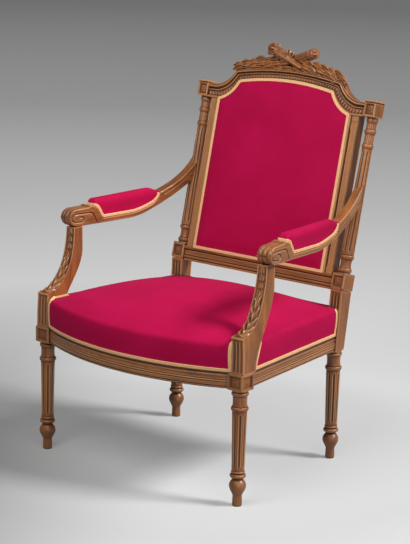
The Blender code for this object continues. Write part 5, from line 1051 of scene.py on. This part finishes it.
# Seat foundation: jute webbing woven over and under below the rails, nine hourglass springs on it, and
# hessian over them. A thin cloth is tacked under the webbing to keep dust in.
def jute(name, thread, pale, deep):
    """Plain-woven jute: coarse crossing threads with dark gaps between them."""
    material, tree, shader = new_material(name)
    place = add_node(tree, "ShaderNodeTexCoord", {}, {})
    waves = []
    for turn in (0.0, math.pi / 2):
        turned = add_node(tree, "ShaderNodeMapping", {"Rotation": (0.0, 0.0, turn)},
                          {"Vector": place.outputs["Object"]})
        settings = {"Scale": 0.314 / thread, "Distortion": 0.6, "Detail": 1.0, "Detail Scale": 3.0}
        waves.append(add_node(tree, "ShaderNodeTexWave", settings, {"Vector": turned.outputs[0]}))
    weave = add_node(tree, "ShaderNodeMath", {"operation": "MULTIPLY"},
                     {0: waves[0].outputs["Fac"], 1: waves[1].outputs["Fac"]})
    tint = add_node(tree, "ShaderNodeMix", {"data_type": "RGBA", 6: srgb(deep), 7: srgb(pale)},
                    {0: weave.outputs[0]})
    tree.links.new(tint.outputs[2], shader.inputs["Base Color"])
    relief = add_node(tree, "ShaderNodeBump", {"Strength": 0.6, "Distance": 0.0005},
                      {"Height": weave.outputs[0]})
    tree.links.new(relief.outputs[0], shader.inputs["Normal"])
    shader.inputs["Roughness"].default_value = 0.95
    return material


# Hessian threads lie about 2 mm apart, the dust cloth's 0.6 mm, drawn at 1.5 mm to show at all
hessian = jute("Plain hessian", 0.002, "#b5966a", "#6e5433")
dust_cloth = jute("Black dust cloth", 0.0015, "#3a3632", "#1d1a18")

webbing_middle = 0.28874
strap_half = 0.025
strap_thickness = 0.0008
strap_wave = 0.0005
strap_pitch_x = 0.140
strap_pitch_y = 0.126
edge = np.array(((-1, 0), (-0.5, -0.5), (0.5, -0.5), (1, 0), (0.5, 0.5), (-0.5, 0.5)))
strap_across, strap_up = strap_half * edge[:, 0][None, :], strap_thickness * edge[:, 1][None, :]
shells = []
for number in (-1, 0, 1):
    x = number * strap_pitch_x
    y = np.linspace(bow_y(abs(x) + strap_half) + 0.006, 0.2495, 70)[:, None]
    z = webbing_middle + strap_wave * (-1) ** number * np.cos(np.pi * y / strap_pitch_y) + strap_up
    shells.append(shell(np.stack((x + strap_across + 0 * y, y + 0 * z, z), axis=-1)))
    y = number * strap_pitch_y
    reach = side_x(y + strap_half) - 0.006
    x = np.linspace(-reach, reach, 70)[:, None]
    z = webbing_middle - strap_wave * (-1) ** number * np.cos(np.pi * x / strap_pitch_x) + strap_up
    shells.append(shell(np.stack((x + 0 * z, y + strap_across + 0 * x, z), axis=-1)))
add_piece("woven_seat_webbing", make_mesh("woven_seat_webbing", shells), hessian, ["seat_webbing"])

# Drawn spring wire: dull grey steel with a faint lengthwise polish
spring_steel, tree, shader = new_material("Drawn spring steel")
place = add_node(tree, "ShaderNodeTexCoord", {}, {})
streaks = add_node(tree, "ShaderNodeTexNoise", {"Scale": 1 / 0.004, "Detail": 2.0},
                   {"Vector": place.outputs["Object"]})
tint = add_node(tree, "ShaderNodeMix", {"data_type": "RGBA", 6: srgb("#8d8f92"), 7: srgb("#b4b4b2")},
                {0: streaks.outputs["Fac"]})
tree.links.new(tint.outputs[2], shader.inputs["Base Color"])
dull = add_node(tree, "ShaderNodeMapRange", {3: 0.35, 4: 0.55}, {0: streaks.outputs["Fac"]})
tree.links.new(dull.outputs[0], shader.inputs["Roughness"])
shader.inputs["Metallic"].default_value = 1.0
repaint([f"seat_spring_{number}" for number in range(1, 10)], spring_steel)

seat_edge = 0.402
cover_low = 0.3283
seat_crown = 0.050
edge_round = 0.014
seat_back_y = 0.2545
plinth_inner = 0.2995
seat_middle = np.array((0.0, -0.0205))


def seat_plan(z, gap, inset, plinth=plinth_inner, plinth_rear=None):
    """Plan of a seat layer at a level, notched round the supports and posts, from the middle of the front."""
    edge = plinth - gap
    rear = (support_rear_y(z) if plinth_rear is None else plinth_rear) + gap
    post_front = post_front_y(z) - gap
    post_inner = mix(0.243, 0.24634, (z - leg_height) / post_rise) - gap
    inset = inset + 0.001
    x = np.linspace(0.0, edge, 61)
    lines = [np.stack((x, bow_y(x, inset)), axis=1)]
    for start, end, count in (((edge, bow_y(edge, inset)), (edge, rear), 20),
                              ((edge, rear), (side_x(rear, inset), rear), 8),
                              ((side_x(rear, inset), rear), (side_x(post_front, inset), post_front), 50),
                              ((side_x(post_front, inset), post_front), (post_inner, post_front), 8),
                              ((post_inner, post_front), (post_inner, seat_back_y - inset), 8),
                              ((post_inner, seat_back_y - inset), (0.0, seat_back_y - inset), 40)):
        lines.append(mix(np.array(start), np.array(end), np.linspace(0.0, 1.0, count)[1:, None]))
    half = np.concatenate(lines)
    return np.concatenate((half, half[-2:0:-1] * mirror))


def layer_rings(plan, shares, height):
    """Rings from a plan in to its middle, each at the height that the places there have."""
    rings = []
    for share in shares:
        places = seat_middle + (plan - seat_middle) * share
        rings.append(np.concatenate((places, height(places, share)[:, None]), axis=1))
    return rings


def flat_sheet(plan, level, thickness, sag):
    """Thin cloth over a plan, sagging a little to its middle."""
    shares = np.linspace(1.0, 0.02, 26)
    upper = layer_rings(plan, shares, lambda places, share: level - sag * (1 - share ** 2) + 0 * places[:, 0])
    lower = [ring - np.array((0.0, 0.0, thickness)) for ring in upper]
    return shell(lower[::-1] + upper)


plan = seat_plan(leg_height, 0.0005, 0.006, 0.2920, -0.184)
mesh = make_mesh("tacked_dust_cover", [flat_sheet(plan, 0.2874, 0.0008, 0.0012)])
dust_cover = add_piece("tacked_dust_cover", mesh, dust_cloth, ["seat_dust_cover"])

mesh = make_mesh("sprung_seat_hessian", [flat_sheet(seat_plan(rail_top, 0.0008, 0.006), 0.3536, 0.0012, 0.0)])
seat_hessian = add_piece("sprung_seat_hessian", mesh, hessian, ["seat_hessian"])


# Seat: curled hair under crimson cloth, domed, with a soft rolled edge over a short upright wall. The
# cloth is cut round the supports and posts and tacked to the rails, where braid covers its edge.
def seat_dome(x, y):
    """Share of the seat's crown at a place in plan."""
    along = (y - seat_middle[1]) / 0.275
    return np.clip(1.0 - (x / side_x(y)) ** 2, 0.0, 1.0) * np.clip(1.0 - along ** 2, 0.0, 1.0)


def seat_wall(z):
    """How far the wall of the seat is drawn in at a level, on its free edges and beside the wood."""
    start = cover_low + 0.011
    swell = np.sin(np.pi * np.clip((z - start) / (seat_edge - start), 0.0, 1.0))
    over = max(0.0, z - (seat_edge - edge_round))
    beside = max(0.0, z - (seat_edge - 0.008))
    free = -0.0022 * swell + edge_round - math.sqrt(max(0.0, edge_round ** 2 - over ** 2))
    return free, 0.0006 + 0.008 - math.sqrt(max(0.0, 0.008 ** 2 - beside ** 2))


def seat_height(places, share):
    """Height of the seat's top, rising from its rim into a dome."""
    return seat_edge + seat_crown * seat_dome(places[:, 0], places[:, 1]) * ease((1.0 - share) / 0.12)


def even_cloth(name, shells):
    """Mesh of a closed form, remade of even squares about 5 mm wide, so that cloth settles evenly over it."""
    rough = bpy.data.objects.new(name, make_mesh(name, shells))
    bpy.context.scene.collection.objects.link(rough)
    remake = rough.modifiers.new("even", "REMESH")
    remake.mode = "VOXEL"
    remake.voxel_size = 0.005
    mesh = bpy.data.meshes.new_from_object(rough.evaluated_get(bpy.context.evaluated_depsgraph_get()))
    bpy.data.objects.remove(rough)
    return mesh


def mesh_points(mesh):
    """Places of a mesh's points, one row each."""
    points = np.empty(3 * len(mesh.vertices))
    mesh.vertices.foreach_get("co", points)
    return points.reshape(-1, 3)


settle_steps = 20


def plump(piece, held, limit):
    """Let cloth settle under the push of its stuffing, with held points still and no point moving too far."""
    before = mesh_points(piece.data)
    group = piece.vertex_groups.new(name="held")
    group.add(np.flatnonzero(held).tolist(), 1.0, "REPLACE")
    cloth = piece.modifiers.new("stuffing", "CLOTH")
    cloth.settings.vertex_group_mass = "held"
    cloth.settings.use_pressure = True
    cloth.settings.uniform_pressure_force = 4.0
    cloth.settings.effector_weights.gravity = 0.0
    cloth.settings.tension_stiffness = 25.0
    cloth.settings.compression_stiffness = 25.0
    cloth.settings.bending_stiffness = 2.0
    cloth.point_cache.frame_start = 1
    cloth.point_cache.frame_end = settle_steps
    for step in range(1, settle_steps + 1):
        bpy.context.scene.frame_set(step)
    move = mesh_points(piece.evaluated_get(bpy.context.evaluated_depsgraph_get()).data) - before
    size = np.linalg.norm(move, axis=1, keepdims=True)
    move = move * np.minimum(1.0, limit / np.maximum(size, 1e-9))
    piece.modifiers.remove(cloth)
    piece.vertex_groups.remove(group)
    bpy.context.scene.frame_set(1)
    piece.data.vertices.foreach_set("co", (before + move).ravel())
    piece.data.update()


def open_under(mesh, level):
    """Take away the faces of a cover below a level, where it is cut and tacked."""
    bm = bmesh.new()
    bm.from_mesh(mesh)
    under = [face for face in bm.faces if face.calc_center_median().z < level]
    bmesh.ops.delete(bm, geom=under, context="FACES")
    bm.to_mesh(mesh)
    bm.free()


def hem_cloth(piece):
    """Give a cover the thickness of its cloth, inwards."""
    hem = piece.modifiers.new("cloth_thickness", "SOLIDIFY")
    hem.thickness = 0.002
    hem.offset = -1.0


# Wool rep: close plain crimson cloth. Threads are about 0.5 mm, drawn at 1.6 mm so that they show, with
# a soft sheen where it turns away and slow changes of tone where hands and backs have brushed it.
crimson, tree, shader = new_material("Crimson wool rep")
place = add_node(tree, "ShaderNodeTexCoord", {}, {})
threads = add_node(tree, "ShaderNodeTexNoise", {"Scale": 1 / 0.0016, "Detail": 1.0},
                   {"Vector": place.outputs["Object"]})
clouds = add_node(tree, "ShaderNodeTexNoise", {"Scale": 1 / 0.11, "Detail": 2.0},
                  {"Vector": place.outputs["Object"]})
cloud_share = add_node(tree, "ShaderNodeMapRange", {1: 0.3, 2: 0.7}, {0: clouds.outputs["Fac"]})
ground = add_node(tree, "ShaderNodeMix", {"data_type": "RGBA", 6: srgb("#b00340"), 7: srgb("#bc074a")},
                  {0: cloud_share.outputs[0]})
thread_share = add_node(tree, "ShaderNodeMapRange", {1: 0.45, 2: 0.75, 4: 0.35}, {0: threads.outputs["Fac"]})
woven = add_node(tree, "ShaderNodeMix", {"data_type": "RGBA", 7: srgb("#8e0033")},
                 {0: thread_share.outputs[0], 6: ground.outputs[2]})
tree.links.new(woven.outputs[2], shader.inputs["Base Color"])
relief = add_node(tree, "ShaderNodeBump", {"Strength": 0.18, "Distance": 0.0004},
                  {"Height": threads.outputs["Fac"]})
tree.links.new(relief.outputs[0], shader.inputs["Normal"])
shader.inputs["Roughness"].default_value = 0.85
shader.inputs["Specular IOR Level"].default_value = 0.15
shader.inputs["Sheen Weight"].default_value = 0.12
shader.inputs["Sheen Roughness"].default_value = 0.4
shader.inputs["Sheen Tint"].default_value = srgb("#ff5e9c")

# Curled horsehair: dark brown and springy, with pale hairs among it, about 3 mm to a curl
horsehair, tree, shader = new_material("Curled horsehair")
place = add_node(tree, "ShaderNodeTexCoord", {}, {})
curls = add_node(tree, "ShaderNodeTexVoronoi", {"Scale": 1 / 0.003, "Randomness": 1.0},
                 {"Vector": place.outputs["Object"]})
tint = add_node(tree, "ShaderNodeMix", {"data_type": "RGBA", 6: srgb("#2a1f17"), 7: srgb("#6a5340")},
                {0: curls.outputs["Distance"]})
tree.links.new(tint.outputs[2], shader.inputs["Base Color"])
relief = add_node(tree, "ShaderNodeBump", {"Strength": 0.9, "Distance": 0.0015},
                  {"Height": curls.outputs["Distance"]})
tree.links.new(relief.outputs[0], shader.inputs["Normal"])
shader.inputs["Roughness"].default_value = 0.9


def lumps(places):
    """Small uneven rise of stuffing, about 40 mm from lump to lump."""
    return 0.0010 * np.sin(places[:, 0] / 0.0065) * np.sin(places[:, 1] / 0.0075)


top_shares = np.linspace(1.0, 0.02, 44)
stuffing_low = 0.3541
stuffing_high = 0.396
rings = []
for z in np.linspace(stuffing_low, stuffing_high, 8):
    free, beside = seat_wall(z)
    plan = seat_plan(z, beside + 0.0035, free + 0.0045)
    rings.append(np.concatenate((plan, z + 0 * plan[:, :1]), axis=1))
rings += layer_rings(seat_plan(stuffing_high, 0.0125, edge_round + 0.0045), top_shares[::2],
                     lambda places, share: seat_height(places, share) - 0.0065 + lumps(places))
mesh = make_mesh("curled_seat_stuffing", [shell(rings)])
stuffing = add_piece("curled_seat_stuffing", mesh, horsehair, ["seat_stuffing"])

rings = []
wall_levels = np.concatenate((np.linspace(cover_low - 0.006, seat_edge - edge_round, 12),
                              seat_edge - edge_round * np.cos(np.radians((15, 30, 45, 60, 72, 82)))))
for z in wall_levels:
    free, beside = seat_wall(z)
    plan = seat_plan(max(z, cover_low), beside, free)
    rings.append(np.concatenate((plan, z + 0 * plan[:, :1]), axis=1))
rings += layer_rings(seat_plan(seat_edge, 0.0086, edge_round), top_shares, seat_height)
seat_mesh = even_cloth("seat_cushion", [shell(rings)])
seat = add_piece("seat_cushion", seat_mesh, crimson, ["seat_cover"], crease=180)
plump(seat, mesh_points(seat_mesh)[:, 2] < seat_edge - 0.002, 0.005)
open_under(seat_mesh, cover_low + 0.001)
hem_cloth(seat)


# Gold gimp: flat woven braid, 8 mm wide, glued over the cut edge of the cloth. Its cords cross in a
# herringbone, drawn with 4 mm between ribs, about twice the real size, so that they show.
gimp, tree, shader = new_material("Woven gold gimp")
place = add_node(tree, "ShaderNodeTexCoord", {}, {})
fibres = add_node(tree, "ShaderNodeTexNoise", {"Scale": 1 / 0.002, "Detail": 2.0},
                  {"Vector": place.outputs["Object"]})
ground = add_node(tree, "ShaderNodeMix", {"data_type": "RGBA", 6: srgb("#e9a768"), 7: srgb("#fbd09c")},
                  {0: fibres.outputs["Fac"]})
hollowness = add_node(tree, "ShaderNodeAttribute", {"attribute_name": "hollow"}, {})
# Painted shade: the creases between the cords and the groove down the braid are painted darker
crease_shade = add_node(tree, "ShaderNodeMapRange", {1: 0.0, 2: 0.8, 4: 0.7}, {0: hollowness.outputs["Fac"]})
tint = add_node(tree, "ShaderNodeMix", {"data_type": "RGBA", 7: srgb("#b87a44")},
                {0: crease_shade.outputs[0], 6: ground.outputs[2]})
tree.links.new(tint.outputs[2], shader.inputs["Base Color"])
relief = add_node(tree, "ShaderNodeBump", {"Strength": 0.3, "Distance": 0.0004},
                  {"Height": fibres.outputs["Fac"]})
tree.links.new(relief.outputs[0], shader.inputs["Normal"])
shader.inputs["Roughness"].default_value = 0.6
shader.inputs["Sheen Weight"].default_value = 0.30

rib_pitch = 0.0042
braid_thickness = 0.0021


def braid_rings(edge_a, edge_b, centre, loop):
    """Rings of a braid between two edges, its ribs standing away from a centre."""
    if loop:
        edge_a = np.concatenate((edge_a, edge_a[:1]))
        edge_b = np.concatenate((edge_b, edge_b[:1]))
    middle = (edge_a + edge_b) / 2
    run = np.concatenate(((0.0,), np.cumsum(np.linalg.norm(np.diff(middle, axis=0), axis=1))))
    count = int(run[-1] / 0.0013)
    s = np.linspace(0.0, run[-1], count, endpoint=not loop)
    first = np.stack([np.interp(s, run, edge_a[:, k]) for k in range(3)], axis=1)
    second = np.stack([np.interp(s, run, edge_b[:, k]) for k in range(3)], axis=1)
    middle = (first + second) / 2
    along = np.roll(middle, -2, axis=0) - np.roll(middle, 2, axis=0)
    if not loop:
        along[:2] = middle[2] - middle[0]
        along[-2:] = middle[-1] - middle[-3]
    out = np.cross(along, second - first)
    out = out / np.linalg.norm(out, axis=1, keepdims=True)
    out = out * np.where(((middle - centre) * out).sum(axis=1, keepdims=True) < 0, -1.0, 1.0)
    t = np.array((-1.0, -1.0, -0.8, -0.5, -0.2, 0.0, 0.2, 0.5, 0.8, 1.0, 1.0))[None, :]
    raised = np.array((0, 1, 1, 1, 1, 1, 1, 1, 1, 1, 0))[None, :]
    wave = np.cos(2 * np.pi * (s[:, None] / rib_pitch - 0.9 * np.abs(t)))
    cords = 1.0 - 0.55 * np.exp(-((t + 0.2) / 0.12) ** 2)
    height = braid_thickness * raised * (0.40 + 0.60 * (1 - t ** 6) * (0.62 + 0.38 * wave)) * cords + 0.0004
    spread = t * (0.97 + 0.03 * np.cos(2 * np.pi * s[:, None] / rib_pitch))
    flat = mix(first[:, None, :], second[:, None, :], (spread[..., None] + 1) / 2)
    return flat + out[:, None, :] * height[..., None]


def braid(name, runs, nodes):
    """Piece of gold gimp from runs of edges with their centres."""
    mesh = make_mesh(name, [shell(braid_rings(*run), loop=run[3]) for run in runs])
    store_hollows(mesh, 0.0008)
    return add_piece(name, mesh, gimp, nodes, crease=80)


plinth_edge = plinth_inner - 0.0008
braid_low = cover_low + 0.0004
braid_width = 0.0080
support_gap = 0.0105
post_gap = 0.0010
seat_heart = np.array((0.0, 0.0, 0.33))
braid_levels = np.concatenate((seat_edge - edge_round * np.cos(np.radians((75, 50, 25))),
                               np.linspace(0.386, 0.340, 12)))


def front_wall(x, z):
    """Place on the front wall of the seat at a distance from the middle and a level."""
    free, _ = seat_wall(z)
    return np.array((x, bow_y(x, free + 0.001), z))


outer, inner = [], []
for y in np.linspace(support_rear_y(0.406) - 0.001, bow_y(plinth_edge, edge_round + 0.001), 24):
    outer.append(np.array((plinth_edge, y, seat_edge + 0.0042)))
    inner.append(np.array((plinth_edge - braid_width, y, seat_edge + 0.0012)))
for z in braid_levels:
    lift = 0.0030 * ease((z - 0.390) / 0.012)
    outer.append(front_wall(plinth_edge, z) + np.array((0.0, 0.0, lift)))
    inner.append(front_wall(plinth_edge - braid_width, z))
outer.append(front_wall(plinth_edge, braid_low))
inner.append(front_wall(plinth_edge - braid_width, braid_low + braid_width))
for x in np.linspace(plinth_edge - braid_width, 0.0, 60)[1:]:
    outer.append(front_wall(x, braid_low))
    inner.append(front_wall(x, braid_low + braid_width))
flip = np.array((-1.0, 1.0, 1.0))
outer = np.concatenate((np.array(outer), np.array(outer[-2::-1]) * flip))
inner = np.concatenate((np.array(inner), np.array(inner[-2::-1]) * flip))
braid("seat_braid_front", [(outer, inner, np.array((0.0, 0.1, 0.30)), False)], ["seat_gimp_front"])

for side, sign in sides:
    def side_wall(y, z):
        """Place on a side wall of the seat at a depth and a level."""
        free, _ = seat_wall(z)
        return np.array((sign * side_x(y, free + 0.001), y, z))

    outer, inner = [], []
    for z in braid_levels:
        outer.append(side_wall(support_rear_y(z) + support_gap, z))
        inner.append(side_wall(support_rear_y(z) + support_gap + braid_width, z))
    outer.append(side_wall(support_rear_y(braid_low) + support_gap, braid_low))
    inner.append(side_wall(support_rear_y(braid_low) + support_gap + braid_width, braid_low + braid_width))
    start = support_rear_y(braid_low) + support_gap + braid_width
    stop = post_front_y(braid_low) - post_gap - braid_width
    for y in np.linspace(start, stop, 40):
        outer.append(side_wall(y, braid_low))
        inner.append(side_wall(y, braid_low + braid_width))
    outer.append(side_wall(post_front_y(braid_low) - post_gap, braid_low))
    inner.append(side_wall(post_front_y(braid_low) - post_gap - braid_width, braid_low + braid_width))
    for z in braid_levels[::-1]:
        outer.append(side_wall(post_front_y(z) - post_gap, z))
        inner.append(side_wall(post_front_y(z) - post_gap - braid_width, z))
    braid(f"seat_braid_{side}", [(np.array(outer), np.array(inner), seat_heart, False)],
          [f"seat_gimp_{side}"])

run = np.linspace(-0.2424, 0.2424, 40)[:, None]
outer = np.concatenate((run, seat_back_y + 0 * run, braid_low + 0 * run), axis=1)
inner = outer + np.array((0.0, 0.0, braid_width))
braid("seat_braid_back", [(outer, inner, seat_heart, False)], ["seat_gimp_back"])


# Padded back: hessian tacked in the frame, curled hair on it, crimson cloth over that with a rolled rim,
# and a plain crimson cloth on the outside. Gold gimp covers both tacked edges.
def back_plan():
    """Outline of the back's opening, from the middle of the top rightwards and round."""
    lower, _ = crest_edges(50, 26)
    rise = np.linspace(opening_shoulder, opening_low, 60)[1:, None]
    run = np.linspace(opening_half, 0.0, 40)[1:, None]
    half = np.concatenate((lower, np.concatenate((opening_half + 0 * rise, rise), axis=1),
                           np.concatenate((run, opening_low + 0 * run), axis=1)))
    return np.concatenate((half, half[-2:0:-1] * mirror))


def moved_in(plan, inset):
    """Outline moved in square to itself, with mitred corners."""
    first = plan - np.roll(plan, 1, axis=0)
    first = first / np.linalg.norm(first, axis=1, keepdims=True)
    second = np.roll(first, -1, axis=0)
    normal = np.stack((first[:, 1] + second[:, 1], -first[:, 0] - second[:, 0]), axis=1)
    normal = normal / np.linalg.norm(normal, axis=1, keepdims=True)
    reach = inset / np.maximum(0.6, first[:, 1] * normal[:, 0] - first[:, 0] * normal[:, 1])
    return plan + normal * reach[:, None]


back_middle = np.array((0.0, 0.2305))


def back_rings(shares, depth, gap):
    """Rings over the back, from its rim in to its middle, each at its own depth."""
    plan = moved_in(back_plan(), gap)
    rings = []
    for share in shares:
        places = back_middle + (plan - back_middle) * share
        rings.append(raked(places[:, 0], depth(share) + 0 * places[:, 0], places[:, 1]))
    return rings


def back_swell(share):
    """Depth of the padded face, which rolls up from its rim and then crowns."""
    inset = (1.0 - share) * opening_half
    return 0.0030 - 0.0050 * ease((inset - 0.005) / 0.022) - 0.0072 * (1.0 - share ** 2) ** 1.2


def thin_back(name, front, thickness, bulge, material, node, gap):
    """Sheet of cloth stretched across the back's opening."""
    shares = np.linspace(1.0, 0.02, 24)
    near = back_rings(shares, lambda share: front + bulge * (1 - share ** 2), gap)
    far = back_rings(shares, lambda share: front + thickness + bulge * (1 - share ** 2), gap)
    piece = add_piece(name, make_mesh(name, [shell(near[::-1] + far)]), material, [node])


thin_back("tacked_back_hessian", 0.0280, 0.0012, 0.0, hessian, "back_hessian", 0.0005)
thin_back("outside_back_cloth", 0.0310, 0.0020, 0.0012, crimson, "outside_back_cover",
          0.0004)

shares = np.linspace(1.0, 0.02, 40)
rear = back_rings((1.0,), lambda share: 0.0277, 0.0010)
front = back_rings(shares, lambda share: back_swell(share) + 0.0035, 0.0010)
mesh = make_mesh("curled_back_stuffing", [shell(rear + front)])
back_stuffing = add_piece("curled_back_stuffing", mesh, horsehair, ["back_stuffing"])

rings = back_rings((1.0,), lambda share: 0.0110, 0.0004) + back_rings(shares, back_swell, 0.0004)
back_points, back_faces = shell(rings)
mesh = make_mesh("back_cushion", [(back_points, back_faces[:-2] + back_faces[-1:])])
back_cushion = add_piece("back_cushion", mesh, crimson, ["back_cover"], crease=60)
plump(back_cushion, np.arange(len(back_points)) < 8 * len(rings[0]), 0.004)
hem_cloth(back_cushion)

wood_edge, cloth_edge = moved_in(back_plan(), -0.0026), moved_in(back_plan(), 0.0056)
for name, depth, behind, node in (("back_braid", 0.0010, 0.5, "back_gimp"),
                                  ("outside_back_braid", 0.0342, -0.5, "outside_back_gimp")):
    edges = [raked(edge[:, 0], depth + 0 * edge[:, 0], edge[:, 1]) for edge in (wood_edge, cloth_edge)]
    centre = raked(np.array(0.0), np.array(behind), np.array(0.23))
    braid(name, [(edges[0], edges[1], centre, True)], [node])


# Arm pads: curled hair under crimson cloth, crowned, drawn down to the wood all round, with gold gimp
# glued round the foot of each.
pad_front = -0.0565
pad_corner = 0.014


def pad_half(y):
    """Half width of a pad, with round corners in front."""
    front_end = np.sqrt(1.0 - (1.0 - np.clip((y - pad_front) / pad_corner, 0.0, 1.0)) ** 2)
    return (arm_half_width(y) - 0.0024) * mix(0.62, 1.0, front_end)


def pad_crown(y):
    """Height of a pad's top, which rises a little to the rear and rounds over at both ends."""
    top = mix(0.6385, 0.6445, np.clip((y - pad_front) / (pad_turn - pad_front), 0.0, 1.0))
    front_end = np.sqrt(1.0 - (1.0 - np.clip((y - pad_front) / 0.012, 0.0, 1.0)) ** 2)
    rear_end = np.sqrt(1.0 - (1.0 - np.clip((pad_rear - y) / 0.036, 0.0, 1.0)) ** 2)
    low = pad_seat(y) + 0.0060
    return mix(low, top, np.minimum(front_end, rear_end))


def pad_rings(sign):
    """Rings of a pad from behind the hand to its rear end."""
    share = (1 - np.cos(np.linspace(0.0, np.pi, 60)[:, None])) / 2
    y = mix(pad_front, pad_rear, share)
    low = pad_seat(y) + 0.0003
    crown = pad_crown(y)
    half = pad_half(y) - 0.0002
    turn = np.linspace(0.0, np.pi, 33)[None, :]
    dome_x = (half + 0.0012 * np.sin(turn) ** 2) * np.sign(np.cos(turn)) * np.abs(np.cos(turn)) ** 0.42
    dome_z = low + (crown - low) * np.sin(turn) ** 0.45
    foot = np.linspace(-1.0, 1.0, 11)[None, 1:-1]
    x = np.concatenate((foot * half, dome_x), axis=1)
    z = np.concatenate((low + 0 * foot, dome_z), axis=1)
    return np.stack((sign * (arm_middle(y) + x), y + 0 * x, z), axis=-1)


def pad_foot(lift):
    """Depth and height along the foot of a pad, moved square to itself, from its front to its rear."""
    y = np.concatenate((pad_front + pad_corner * (1 - np.cos(np.linspace(0.0, np.pi / 2, 16)))[:-1],
                        np.linspace(pad_front + pad_corner, pad_turn, 100),
                        pad_turn + (pad_rear - pad_turn) * np.sin(np.linspace(0.0, np.pi / 2, 30))[1:]))
    z = pad_seat(y) + 0.0004
    run_y, run_z = np.gradient(y), np.gradient(z)
    size = np.hypot(run_y, run_z)
    return y - lift * run_z / size, z + lift * run_y / size


for side, sign in sides:
    rings = pad_rings(sign)
    pad_points, pad_faces = shell(rings)
    mesh = make_mesh(f"arm_cushion_{side}", [(pad_points, pad_faces)])
    pad = add_piece(f"arm_cushion_{side}", mesh, crimson, [f"arm_pad_{side}"], crease=70)
    column_number = np.arange(len(pad_points)) % rings.shape[1]
    ring_number = np.arange(len(pad_points)) // rings.shape[1]
    foot_held = (column_number < 12) | (column_number > rings.shape[1] - 3)
    end_held = (ring_number < 2) | (ring_number > 57)
    plump(pad, foot_held | end_held, 0.002)
    edges = []
    for lift in (0.0, 0.0074):
        y, z = pad_foot(lift)
        across = np.linspace(1.0, -1.0, 14)[1:-1]
        y = np.concatenate((y, y[-1] + 0 * across, y[::-1], y[0] + 0 * across))
        z = np.concatenate((z, z[-1] + 0 * across, z[::-1], z[0] + 0 * across))
        ends = np.ones(len(pad_foot(lift)[0]))
        across = np.concatenate((ends, across, -ends, -across))
        edges.append(np.stack((sign * (arm_middle(y) + across * pad_half(y)), y, z), axis=1))
    centre = np.array((sign * arm_middle(0.08), 0.07, 0.56))
    braid(f"arm_braid_{side}", [(edges[0], edges[1], centre, True)], [f"arm_pad_gimp_{side}"])
